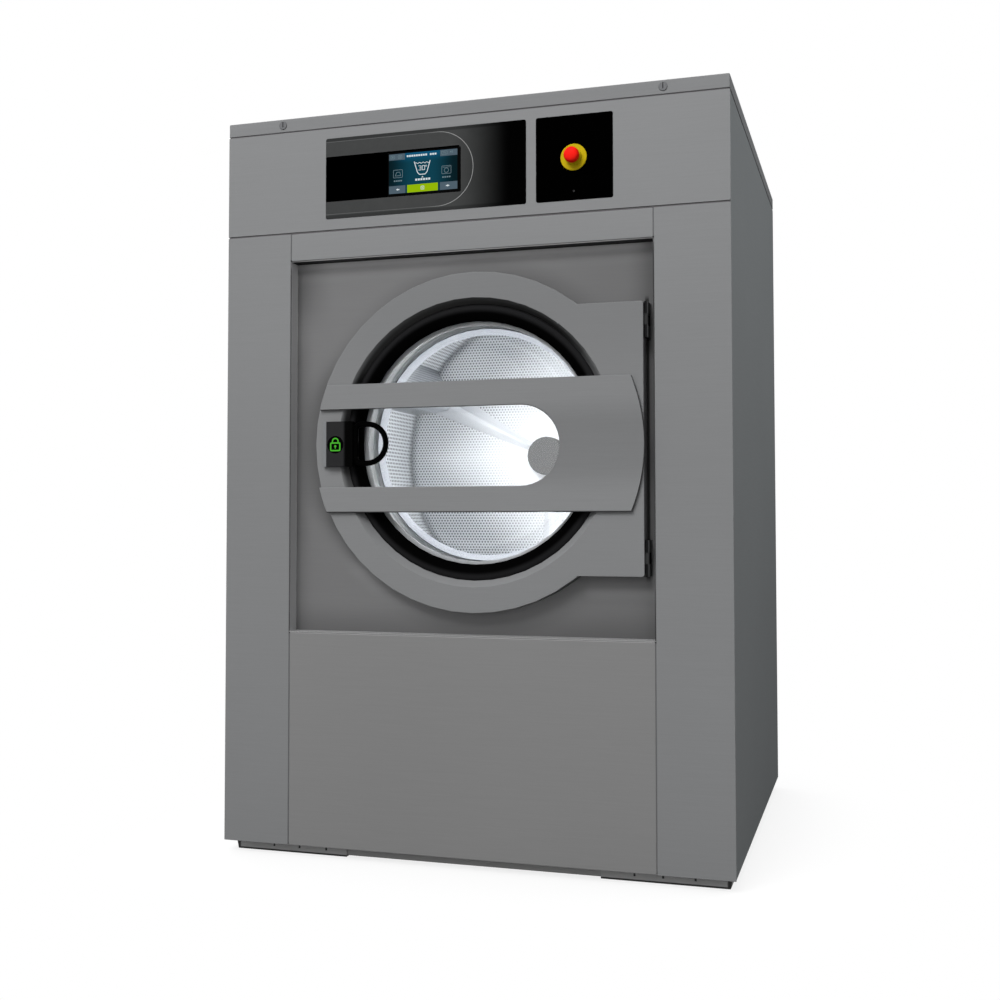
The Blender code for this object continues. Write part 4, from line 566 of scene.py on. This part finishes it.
def bowl_glass(name):
    """Clear tempered glass with faint ripples: it mirrors more the more it is seen edge on."""
    n = Finish(name)
    ripple = n.noise(7.0, 2.0)
    fine = n.noise(60.0, 2.0)
    edge_on = n.make("Fresnel", {"IOR": 1.45}).outputs[0]
    return n.done(
        Base_Color=n.mix(fine, tint("E9F2F0"), tint("F8FCFB")),
        Metallic=1.0,
        Roughness=0.03,
        Alpha=n.math("MINIMUM", n.math("MULTIPLY", edge_on, 0.6), 0.07),
        Normal=n.bump(ripple, 0.005, 0.001),
    )


def lock_head(name):
    """Grey head of a lid lock, with painted shade below its face: round the rim and in the slot.
    """
    n = Finish(name)
    grain = n.noise(400.0)
    sunk = n.span(n.split()[1], LOCK_FACE + 0.0002, LOCK_FACE + 0.0008)
    face = n.mix(grain, tint("626365"), tint("6C6D6F"))
    return n.done(
        Base_Color=n.mix(sunk, face, tint("3E3E40")),
        Metallic=0.2,
        Roughness=n.span(grain, 0.3, 0.7, 0.4, 0.5),
        Normal=n.bump(grain, 0.05, 0.0003),
        Specular_IOR_Level=0.2,
    )


def base_finish(name, code):
    """Grey coating of the base, with painted shade along the floor, at both ends and towards the
    rear.
    """
    n = Finish(name)
    x, y, z = n.split()
    grain = n.noise((9.0, 300.0, 300.0), 4.0, 0.6)
    low = n.span(z, 0.0046, 0.0028)
    ends = n.span(n.math("ABSOLUTE", x), 0.5270, 0.5310)
    rear = n.span(y, -0.445, -0.380, 0.0, 0.65)
    colour = n.mix(rear, n.mix(grain, tint(code, 0.93), tint(code, 1.07)), BLACK)
    return n.done(
        Base_Color=n.mix(n.math("MAXIMUM", low, ends), colour, tint("3B3B3B")),
        Roughness=n.span(grain, 0.3, 0.7, 0.45, 0.6),
        Normal=n.bump(grain, 0.08, 0.0004),
        Specular_IOR_Level=0.15,
    )


SHEEN_R = 0.2795


def bezel_finish(name):
    """Black moulded ring with a painted highlight: a faint grey sheen half way across it."""
    n = Finish(name)
    spark = n.noise(900.0, 3.0, 0.6)
    sheen = n.span(n.away(n.reach(), SHEEN_R), 0.0120, 0.0010, 0.0, 0.9)
    sheen = n.math("MULTIPLY_ADD", spark, 0.1, sheen)
    return n.done(
        Base_Color=n.mix(sheen, tint("010101"), tint("1F1F20")),
        Roughness=n.span(spark, 0.3, 0.7, 0.40, 0.48),
        Normal=n.bump(spark, 0.03, 0.0003),
        Specular_IOR_Level=0.004,
    )


def hinge_finish(name):
    """Dark hinge knuckles whose outer side is painted lighter, as a painted highlight."""
    n = Finish(name)
    spark = n.noise(800.0, 3.0, 0.6)
    outer = n.span(n.split()[0], 0.3835, 0.3865)
    colour = n.mix(outer, tint("161617"), tint("565758"))
    return n.done(
        Base_Color=n.mix(n.math("MULTIPLY", spark, 0.2), colour, BLACK),
        Roughness=n.span(spark, 0.3, 0.7, 0.42, 0.52),
        Normal=n.bump(spark, 0.05, 0.0003),
        Specular_IOR_Level=0.05,
    )


def block_finish(name):
    """Dark moulded latch block with a painted grey sheen, a painted reflection that ends in black
    towards its right side.
    """
    n = Finish(name)
    spark = n.noise(800.0, 3.0, 0.6)
    grey = n.mix(spark, tint("262627"), tint("2C2C2D"))
    return n.done(
        Base_Color=n.mix(n.span(n.split()[0], -0.2640, -0.2560), grey, tint("010101")),
        Roughness=n.span(spark, 0.3, 0.7, 0.38, 0.46),
        Normal=n.bump(spark, 0.06, 0.0003),
        Specular_IOR_Level=0.02,
    )


# The machine's materials, and the CAD nodes that wear them. The grey coatings are copies of one
# paint, each toned for the light that its part gets, as painted light and shade
front_paint = painted("front_coating", "7C7D7E", 0)
service_paint = painted("service_coating", "9F9F9F", 0, shade_of=service_shade)
side_paint = painted("side_coating", "7E8182", 1, 0.5, 0.0, side_shade)
upright_paint = painted("upright_coating", "7B7C7D", 0)
bridge_paint = painted("bridge_coating", "7D7E7F", 0, 0.36, 0.2, bridge_shade)
lid_paint = painted("lid_coating", "7B7C7D", 0, 0.45, 0.0, under=0.15)
ring_paint = painted("ring_coating", "7B7C7D", 0, 0.36, 0.2, ring_shade)
recess_paint = painted("recess_coating", "BFBFC0", 0, 0.45, 0.10, recess_shade)
dark_paint = painted("cradle_coating", "4E4F50", 0, 0.5)
stainless = metal("tub_stainless", "C4C8CB", 0.34, (12.0, 12.0, 260.0))
cap_steel = metal("cap_stainless", "565656", 0.55, (90.0, 90.0, 90.0), 0.004, 0.0, 0.02)
strip_steel = metal("strip_stainless", "77797B", 0.45, (500.0, 500.0, 20.0), 0.05, 0.15)
screw_steel = metal("screw_plated", "7D7E80", 0.4, (300.0, 300.0, 300.0), 0.05, 0.5)
zinc = galvanised("zinc_coating")
iron = cast("cast_iron_paint", "4A4D50")
pulley_iron = cast("machined_iron", "6C6F72", 0.45, 0.8)
motor_paint = cast("motor_enamel", "3E4E63", 0.5, 0.1)
aluminium = cast("cast_aluminium", "A9ADB0", 0.42, 0.9)
brass = metal("turned_brass", "C79A45", 0.3, (20.0, 600.0, 20.0), 0.06)
bezel_black = bezel_finish("bezel_moulding")
block_black = block_finish("block_moulding")
loop_black = moulded("loop_moulding", "010101", 0.35, 0.01, 0.04, 900.0)
hinge_black = hinge_finish("hinge_coating")
plain_black = moulded("fitting_moulding", "18191A", 0.45, 0.3, 0.06)
stop_gloss = moulded("stop_panel_gloss", "010101", 0.2, 0.0, 0.01, 300.0)
lens = moulded("lens_moulding", "2E2E2F", 0.3, 0.02, 0.02)
yellow = moulded("yellow_moulding", "B29C08", 0.42, 0.10, 0.08, 260.0, 0.22)
red = moulded("red_moulding", "E8190E", 0.36, 0.10, 0.03, 700.0, 0.05)
seal_rubber = rubber("seal_rubber", "A4A6A9")
belt_rubber = rubber("belt_rubber", "151516", 0.0035)

DRESS = {
    front_paint: ["control_fascia", "filler_panel", "rear_panel"],
    service_paint: ["service_panel"],
    lid_paint: ["top_lid"],
    upright_paint: ["upright_left", "upright_right"],
    side_paint: ["side_panel_left", "side_panel_right"],
    ring_paint: ["door_frame"],
    bridge_paint: ["door_bridge"],
    recess_paint: ["door_surround"],
    dark_paint: ["tub_cradle"],
    # The base and the shoes are painted far lighter than their grey, as painted light against the
    # shade under the cabinet's front
    base_finish("base_coating", "B4B4B4"): ["base_frame"],
    base_finish("shoe_coating", "C4C4C4"): [
        "foot_front_left", "foot_front_right", "foot_rear_left", "foot_rear_right",
    ],
    stainless: ["tub_shell", "tub_front"],
    perforated("drum_wall_stainless", "wall"): ["drum_basket"],
    perforated("drum_back_stainless", "back"): ["drum_back"],
    perforated("lifter_stainless", "lifter"): ["lifter_1", "lifter_2", "lifter_3"],
    cap_steel: ["hub_cap"],
    strip_steel: ["latch_plate"],
    lock_head("lock_coating"): ["lid_lock_left", "lid_lock_right"],
    zinc: ["spring_1", "spring_2", "spring_3", "spring_4", "control_box"],
    hinge_black: ["hinge_bracket_upper", "hinge_bracket_lower"],
    iron: ["bearing_housing"],
    motor_paint: ["motor"],
    pulley_iron: ["drum_pulley", "motor_pulley"],
    aluminium: ["drum_spider"],
    brass: ["water_inlet_cold", "water_inlet_hot"],
    bezel_black: ["door_bezel"],
    block_black: ["latch_block"],
    loop_black: ["latch_loop"],
    plain_black: ["cable_gland", "drain_valve", "door_lock_case", "stop_stem"],
    gloss_panel("touch_panel_gloss"): ["touch_panel"],
    screen("display_field"): ["display"],
    stop_gloss: ["stop_panel"],
    lens: ["indicator_lens"],
    yellow: ["stop_collar"],
    red: ["stop_head"],
    seal_rubber: ["door_seal"],
    belt_rubber: ["drive_belt"],
    bowl_glass("door_glass_clear"): ["door_glass"],
}


FACET_ANGLE = math.radians(42)


def soften(obj):
    """Rounds the shading over facets that meet at less than the facet angle; the shape stays."""
    for face in obj.data.polygons:
        face.use_smooth = True
    if obj.data.has_custom_normals:
        stale = obj.data.attributes.get("custom_normal")
        if stale:
            obj.data.attributes.remove(stale)
    weld = obj.modifiers.new("weld", "WELD")
    weld.merge_threshold = 1e-6
    split = obj.modifiers.new("split", "EDGE_SPLIT")
    split.split_angle = FACET_ANGLE
    weighted = obj.modifiers.new("weighted", "WEIGHTED_NORMAL")
    weighted.mode = "FACE_AREA"
    weighted.keep_sharp = True


for finish, names in DRESS.items():
    for node_name in names:
        node = nodes[node_name]
        node.data.materials.clear()
        node.data.materials.append(finish)
        soften(node)
undressed = set(nodes) - {name for names in DRESS.values() for name in names}
assert not undressed, undressed

# Each spring is shown by a copy of its mesh, and the CAD spring is hidden
for number in range(1, 5):
    spring = f"spring_{number}"
    coil = bpy.data.objects.new(f"{spring}_coil", nodes[spring].data.copy())
    bpy.context.scene.collection.objects.link(coil)
    soften(coil)
    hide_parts(spring)
    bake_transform(coil)


def mesh_object(name, bm, finish):
    """A new object in the scene from a bmesh, which is freed."""
    mesh = bpy.data.meshes.new(name)
    bm.to_mesh(mesh)
    bm.free()
    mesh.materials.append(finish)
    obj = bpy.data.objects.new(name, mesh)
    bpy.context.scene.collection.objects.link(obj)
    return obj


def piece(name, bm, finish, body, smooth=False):
    """One new piece of the machine, which rides on a body of the CAD."""
    bmesh.ops.recalc_face_normals(bm, faces=bm.faces[:])
    for face in bm.faces:
        face.smooth = smooth
    obj = mesh_object(name, bm, finish)
    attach(obj, body)


def prism(bm, points, depths):
    """A solid between two depths along Y with the given outline in X and Z."""
    near, far = [[bm.verts.new((x, depth, z)) for x, z in points] for depth in depths]
    bm.faces.new(near)
    bm.faces.new(far[::-1])
    for i in range(len(points)):
        j = (i + 1) % len(points)
        bm.faces.new((near[i], far[i], far[j], near[j]))


class Marks:
    """Flat marks that stand a hair proud of a front face; outlines are in X and Z."""

    def __init__(self, face_y, proud=0.00012, sunk=0.0002):
        self.bm = bmesh.new()
        self.depth = (face_y - proud, face_y + sunk)

    def strip(self, left, right, closed=False):
        """A band between two lines of points."""
        rows = [
            [self.bm.verts.new((x, depth, z)) for x, z in line]
            for depth in self.depth
            for line in (left, right)
        ]
        near_left, near_right, far_left, far_right = rows
        around = (near_left, near_right, far_right, far_left)
        count = len(left)
        for i in range(count if closed else count - 1):
            j = (i + 1) % count
            for one, other in zip(around, around[1:] + around[:1]):
                self.bm.faces.new((one[i], one[j], other[j], other[i]))
        if not closed:
            for i in (0, -1):
                self.bm.faces.new([row[i] for row in around])

    def line(self, points, width, closed=False):
        """A band of one width along a line of points, mitred at its bends."""
        points = [Vector(point) for point in points]
        count = len(points)
        left, right = [], []
        for i, point in enumerate(points):
            before = points[i - 1] if i or closed else None
            after = points[(i + 1) % count] if i < count - 1 or closed else None
            ways = [(b - a).normalized() for a, b in ((before, point), (point, after)) if a and b]
            way = sum(ways, Vector((0, 0))).normalized()
            side = Vector((-way.y, way.x))
            mitre = abs(side.dot(Vector((-ways[0].y, ways[0].x))))
            reach = width / 2 / max(0.5, mitre)
            left.append(point + side * reach)
            right.append(point - side * reach)
        self.strip(left, right, closed)

    def bar(self, x0, z0, x1, z1):
        """An upright rectangle between its low left and high right corners."""
        self.strip([(x0, z1), (x1, z1)], [(x0, z0), (x1, z0)])

    def shape(self, points):
        """A filled outline, wound either way."""
        prism(self.bm, points, self.depth)

    def disc(self, x, z, radius, steps=32):
        self.shape(circle(x, z, radius, steps))

    def ring(self, x, z, radius, width, steps=32):
        self.line(circle(x, z, radius, steps), width, True)


WHOLE_TURN = 2 * math.pi


def circle(x, z, radius, steps=32, start=0.0, turn=WHOLE_TURN):
    """Points of a circle, or of an arc with both its ends."""
    count = steps if turn == WHOLE_TURN else steps + 1
    angles = [start + turn * i / steps for i in range(count)]
    return [(x + radius * math.cos(angle), z + radius * math.sin(angle)) for angle in angles]


def rounded(x0, z0, x1, z1, radius, steps=4):
    """Points of a rectangle with round corners."""
    points = []
    quarter = math.pi / 2
    corners = ((x1 - radius, z1 - radius), (x0 + radius, z1 - radius),
               (x0 + radius, z0 + radius), (x1 - radius, z0 + radius))
    for i, (x, z) in enumerate(corners):
        points += circle(x, z, radius, steps, i * quarter, quarter)
    return points


# Folded edges shown a few millimetres inside the seams between the panels, shallower than the real
# gaps: painted light that keeps each seam a soft grey line instead of dark shade
SEAM_X = 0.39725
SEAM_HALF = 0.0010
FOLD_DEPTH = 0.0006
LEVEL_SEAMS = ((1.3397, 1.3433), (1.5637, 1.5673))
UPRIGHT_SEAMS = ((0.0300, 0.4760), (1.2830, 1.3396))
LEVEL_HALF = 0.5480
SIDE_FOLD_X = (0.5472, 0.5486)
SIDE_FOLD_Y = (-0.4845, 0.5180)


def seam(name, code, depth, bars, sides=()):
    """Folds behind the front's seams, and others along the sides' upper seam."""
    fold = Marks(FACE_Y + depth, 0.0, FOLD_DEPTH)
    for bar in bars:
        fold.bar(*bar)
    low, high = LEVEL_SEAMS[-1]
    for side in sides:
        x0, x1 = [side * x for x in SIDE_FOLD_X]
        prism(fold.bm, ((x0, low), (x1, low), (x1, high), (x0, high)), SIDE_FOLD_Y)
    piece(name, fold.bm, painted(name + "_coating", code, 0, 0.5, 0.05), "cabinet")


seam("seam_folds_level", "5E5C5E", 0.0024, [
    (-LEVEL_HALF, low, LEVEL_HALF, high) for low, high in LEVEL_SEAMS
], sides=(-1, 1))
seam("seam_folds_upright", "626364", 0.0016, [
    (side * SEAM_X - SEAM_HALF, low, side * SEAM_X + SEAM_HALF, high)
    for side in (-1, 1)
    for low, high in UPRIGHT_SEAMS
])

# Touch panel: a black window strip and a pale line round it
WINDOW_LOW, WINDOW_HIGH = 1.404, 1.502
LINE_TOP, LINE_BOTTOM, BEND_X = 1.534, 1.3765, -0.0590
START_X = PANEL[0].x + 0.0006
HAIR = 0.0001

strip = Marks(FACE_Y, 0.00008)
strip.bar(START_X, WINDOW_LOW, SCREEN[0].x - HAIR, WINDOW_HIGH)
strip.bar(SCREEN[0].x - HAIR, SCREEN[1].z + HAIR, SCREEN[1].x - 0.003, WINDOW_HIGH)
piece("touch_window_strip", strip.bm, moulded("window_gloss", "000000", 0.2, 0.0, 0.01, 300.0),
      "cabinet")

line = Marks(FACE_Y, 0.00010)
bend_z, bend_r = (LINE_TOP + LINE_BOTTOM) / 2, (LINE_TOP - LINE_BOTTOM) / 2
bend = circle(BEND_X, bend_z, bend_r, 40, math.pi / 2, -math.pi)
line.line([(START_X, LINE_TOP), *bend, (START_X, LINE_BOTTOM)], 0.0011)
piece("touch_panel_line", line.bm, line_print("line_print"), "cabinet")

# Display: places are shares of the lit area
LIT_X, LIT_Z = (-0.1682, -0.0148), (1.4102, 1.4948)


def at(u, v):
    """The place in X and Z of two shares of the lit area."""
    return LIT_X[0] + u * (LIT_X[1] - LIT_X[0]), LIT_Z[0] + v * (LIT_Z[1] - LIT_Z[0])


def box_at(marks, u0, v0, u1, v1):
    """A bar with its corners as shares of the lit area."""
    marks.bar(*at(u0, v0), *at(u1, v1))


FOOT_H, HEAD_V = 0.195, 0.845
TILES = (
    (0.0, 0.0, 0.242, FOOT_H), (0.748, 0.0, 1.0, FOOT_H),
    (0.0, HEAD_V, 0.235, 1.0), (0.752, HEAD_V, 1.0, 1.0),
)
TILE_PROUD = 0.00006
tiles = Marks(FACE_Y, TILE_PROUD)
for tile in TILES:
    box_at(tiles, *tile)
piece("display_tiles", tiles.bm, lit("tile_light", "4B5B66"), "cabinet")

button = Marks(FACE_Y, TILE_PROUD)
box_at(button, 0.268, 0.0, 0.718, FOOT_H)
piece("display_button", button.bm, lit("button_light", "8DB000"), "cabinet")

# White marks: a line of bars, the wash tub with its number, and the signs in the foot
FINE, THIN, BOLD = 0.0009, 0.0011, 0.0017
TUB = ((0.372, 0.77), (0.42, 0.49), (0.45, 0.435), (0.53, 0.435), (0.56, 0.49), (0.605, 0.77))
THREE = ((0, 1), (1, 1), (1, 0.5), (1, 0), (0, 0))
ZERO = ((0, 0), (0, 1), (1, 1), (1, 0))
FOOT_V = 0.098
white = Marks(FACE_Y)
for i in range(13):
    if i != 9:
        u = 0.262 + 0.034 * i
        box_at(white, u, 0.90, u + 0.026, 0.945)
white.line([at(*p) for p in TUB], BOLD)
wave = [(0.385 + 0.21 * i / 24, 0.725 + 0.014 * math.sin(i * math.pi / 3)) for i in range(25)]
white.line([at(*p) for p in wave], THIN)
for left, corners, closed in ((0.435, THREE, False), (0.490, ZERO, True)):
    white.line([at(left + 0.036 * a, 0.545 + 0.105 * b) for a, b in corners], THIN, closed)
box_at(white, 0.447, 0.593, 0.469, 0.604)
white.ring(*at(0.545, 0.64), 0.0014, 0.0007, 12)
for i in range(6):
    u = 0.388 + 0.038 * i
    box_at(white, u, 0.285, u + 0.028, 0.335)
white.shape([at(0.478, 0.355), at(0.508, 0.355), at(0.493, 0.395)])
for side, u in ((-1, 0.128), (1, 0.862)):
    tip, (x, z) = at(u + 0.026 * side, FOOT_V), at(u - 0.004 * side, FOOT_V)
    white.shape([tip, (x, z + 0.0024), (x, z - 0.0024)])
    start, end = sorted((x, x - 0.0035 * side))
    white.bar(start, z - 0.0010, end, z + 0.0010)
x, z = at(0.493, FOOT_V)
white.line(rounded(x - 0.0034, z - 0.0034, x + 0.0034, z + 0.0034, 0.0012), FINE, True)
for rise in (-0.0014, 0.0, 0.0014):
    white.bar(x - 0.0019, z + rise - 0.0003, x + 0.0019, z + rise + 0.0003)
piece("display_marks", white.bm, lit("mark_light", "CDD6DA"), "cabinet")

# Dim marks: the signs in the head, and an iron and a drum beside the tub
IRON = ((0.004, 0.004), (0.0165, 0.004), (0.0145, 0.0115), (0.0075, 0.0115))
FRAME_W, FRAME_H = 0.0205, 0.0165
dim = Marks(FACE_Y)
for u in (0.028, 0.135):
    x, z = at(u, 0.885)
    dim.line(rounded(x, z, x + 0.0085, z + 0.0062, 0.001), FINE, True)
    dim.bar(x + 0.0028, z + 0.0018, x + 0.0057, z + 0.0042)
x, z = at(0.772, 0.885)
dim.line(rounded(x, z, x + 0.0125, z + 0.0068, 0.001), FINE, True)
dim.line([(x + 0.003, z + 0.002), (x + 0.006, z + 0.0048), (x + 0.0095, z + 0.002)], FINE)
x, z = at(0.905, 0.90)
dim.disc(x, z + 0.003, 0.0016, 16)
dim.line(circle(x, z + 0.003, 0.0038, 12, -0.8, 1.6), FINE)
for u, inner in ((0.065, "iron"), (0.775, "drum")):
    x, z = at(u, 0.40)
    dim.line(rounded(x, z, x + FRAME_W, z + FRAME_H, 0.0016), FINE, True)
    if inner == "drum":
        dim.ring(x + FRAME_W / 2, z + FRAME_H / 2 - 0.0012, 0.0048, 0.0010, 24)
        dim.bar(x + 0.002, z + FRAME_H - 0.0034, x + FRAME_W - 0.002, z + FRAME_H - 0.0026)
    else:
        dim.line([(x + a, z + b) for a, b in IRON], 0.0010, True)
    for i in range(4):
        dim.bar(x + 0.001 + 0.0049 * i, z - 0.0085, x + 0.0046 + 0.0049 * i, z - 0.0055)
piece("display_dim_marks", dim.bm, lit("dim_light", "6A8088", 0.8), "cabinet")

# Latch block: a round dark window with a green padlock
BADGE = (-0.2797, 0.8780)
BADGE_R, BADGE_PROUD = 0.0185, 0.0003
badge = Marks(BLOCK_Y, BADGE_PROUD)
badge.disc(*BADGE, BADGE_R, 40)
piece("latch_badge", badge.bm, moulded("badge_gloss", "010101", 0.2, 0.02, 0.01, 300.0),
      "door")

SHACKLE_R = 0.0065
lock = Marks(BLOCK_Y - BADGE_PROUD, 0.00012)
x, z = BADGE
lock.line(rounded(x - 0.0105, z - 0.0125, x + 0.0105, z + 0.0035, 0.0020), 0.0030, True)
bow = circle(x, z + 0.0068, SHACKLE_R, 16, math.pi, -math.pi)
lock.line([(x - SHACKLE_R, z + 0.0050), *bow, (x + SHACKLE_R, z + 0.0050)], 0.0028)
lock.disc(x, z - 0.0035, 0.0026, 20)
lock.bar(x - 0.0010, z - 0.0085, x + 0.0010, z - 0.0035)
piece("latch_padlock", lock.bm, lit("padlock_light", "46A82E"), "door")

# Front shoes: small notches, drawn as flat dark marks that stand for the shade in their hollows
NOTCHES = (-0.4477, -0.3876, -0.3245, 0.3454, 0.4026, 0.4668)
NOTCH_HALF = 0.0021
notches = Marks(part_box("foot_front_left")[0].y, 0.0003)
for x in NOTCHES:
    notches.bar(x - NOTCH_HALF, 0.0100, x + NOTCH_HALF, 0.0195)
piece("shoe_notches", notches.bm, plain_black, "cabinet")

# Rear panel: pan-head screws round the edge
SCREW_R, SCREW_H, SCREW_STEPS = 0.0048, 0.0022, 20
SCREW_RINGS = ((1.0, 0.0), (1.0, 0.35), (0.82, 0.78), (0.5, 1.0), (0.22, 1.0), (0.16, 0.55))
SCREW_IN, SCREW_BELOW, SCREW_ABOVE, SCREW_END = 0.012, 0.014, 0.042, 0.05
SCREWS_UP, SCREWS_ACROSS = 7, 5


def screw(bm, x, y, z):
    """A domed screw with a round socket whose head faces +Y."""
    unit = circle(0.0, 0.0, 1.0, SCREW_STEPS)
    rings = [
        [
            bm.verts.new((x + px * share * SCREW_R, y + lift * SCREW_H, z + pz * share * SCREW_R))
            for px, pz in unit
        ]
        for share, lift in SCREW_RINGS
    ]
    for low, high in zip(rings, rings[1:]):
        for i in range(SCREW_STEPS):
            j = (i + 1) % SCREW_STEPS
            bm.faces.new((low[i], low[j], high[j], high[i]))
    bm.faces.new(rings[0][::-1])
    bm.faces.new(rings[-1])


first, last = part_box("rear_panel")
screws = bmesh.new()
rise = (last.z - first.z - 2 * SCREW_END) / (SCREWS_UP - 1)
for x in (first.x + SCREW_IN, last.x - SCREW_IN):
    for i in range(SCREWS_UP):
        screw(screws, x, last.y, first.z + SCREW_END + i * rise)
stride = (last.x - first.x - 2 * SCREW_IN) / SCREWS_ACROSS
for i in range(SCREWS_ACROSS):
    x = first.x + SCREW_IN + (i + 0.5) * stride
    for z in (first.z + SCREW_BELOW, last.z - SCREW_ABOVE):
        screw(screws, x, last.y, z)
piece("rear_screws", screws, screw_steel, "cabinet", True)

# Camera, at the photograph's place
camera_data = bpy.data.cameras.new("camera")
camera_data.lens = 44.79
camera_data.sensor_width = 36.0
camera_data.shift_y = -0.028
camera = bpy.data.objects.new("camera", camera_data)
camera.location = (0.8231, -2.9262, 0.7187)
camera.rotation_euler = [math.radians(a) for a in (92.2, 0.0593, 17.0189)]
bpy.context.scene.collection.objects.link(camera)
bpy.context.scene.camera = camera


def showing(n):
    """1 where the camera sees a surface straight, mirrored or through glass."""
    path = n.make("LightPath").outputs
    seen = n.math("MAXIMUM", path["Is Camera Ray"], path["Is Glossy Ray"])
    return n.math("MAXIMUM", seen, path["Is Transmission Ray"])


FOOTPRINT = (0.52, 0.47, 0.0)
SHADOW_REACH = 0.35


def floor_finish():
    """White where it is seen, but for the machine's shadow, and otherwise a dull bounce."""
    n = Finish("pale_floor")
    grain = n.noise(30.0)
    beyond = n.vector("SUBTRACT", n.vector("ABSOLUTE", n.place), FOOTPRINT)
    beyond = n.vector("LENGTH", n.vector("MAXIMUM", beyond, (0.0, 0.0, 0.0)))
    near = n.span(beyond, 0.0, SHADOW_REACH, 0.20, 0.0)
    pale = n.mix(grain, (0.95, 0.95, 0.95, 1.0), (0.98, 0.98, 0.98, 1.0))
    seen = n.either(near, n.make("Emission", [WHITE, 1.0]), n.make("BsdfDiffuse", [pale]))
    dull = n.make("BsdfDiffuse", [(0.20, 0.20, 0.20, 1.0)])
    return n.output("OutputMaterial", n.either(showing(n), dull, seen))


floor_bm = bmesh.new()
bmesh.ops.create_grid(floor_bm, x_segments=8, y_segments=8, size=20.0)
floor = mesh_object("floor", floor_bm, floor_finish())


def studio():
    """A white backdrop, and light from all round that is weak on the right and strong behind."""
    n = Nodes(bpy.data.worlds.new("studio"))
    x, y, _ = n.split(n.make("TexCoord").outputs["Generated"])
    sideways = n.span(x, -0.1, 0.6, 0.85, 0.02, "LINEAR")
    behind = n.span(y, -0.05, 0.30, 0.0, 1.0, "LINEAR")
    level = n.make("Mix", {0: behind, 2: sideways, 3: 1.6}).outputs[0]
    ambient = n.make("Background", [WHITE, level])
    backdrop = n.make("Background", [WHITE, 1.0])
    return n.output("OutputWorld", n.either(showing(n), ambient, backdrop))


bpy.context.scene.world = studio()


def softbox(name, place, aim, size, power, colour=WHITE[:3], shape="RECTANGLE"):
    """An area lamp that lights the object and isn't seen itself."""
    data = bpy.data.lights.new(name, "AREA")
    data.shape = shape
    data.size, data.size_y = size
    data.energy = power
    data.color = colour
    lamp = bpy.data.objects.new(name, data)
    lamp.location = place
    way = Vector(aim) - Vector(place)
    lamp.rotation_euler = way.to_track_quat("-Z", "Y").to_euler()
    bpy.context.scene.collection.objects.link(lamp)
    lamp.visible_camera = False
    lamp.visible_glossy = False


softbox("key", (-0.6, -4.2, 4.3), (0, -0.4, 1.0), (3.0, 2.6), 222)
softbox("fill", (2.4, -0.2, 2.9), (0.5, 0.0, 1.5), (1.0, 1.0), 9, (0.90, 0.96, 1.0))
softbox("side_fill", (2.6, -3.4, 1.5), (-0.3, -0.45, 1.0), (1.0, 1.0), 12)
softbox("drum_light", (AXIS_X - 0.05, -0.30, AXIS_Z + 0.10), (AXIS_X - 0.05, 0.12, AXIS_Z - 0.12),
        (0.30, 0.10), 1.95)
softbox("rim_light", (AXIS_X, -0.475, AXIS_Z), (AXIS_X, 0.0, AXIS_Z), (0.40, 0.40), 2.2,
        shape="ELLIPSE")

bpy.context.scene.view_settings.view_transform = "Standard"
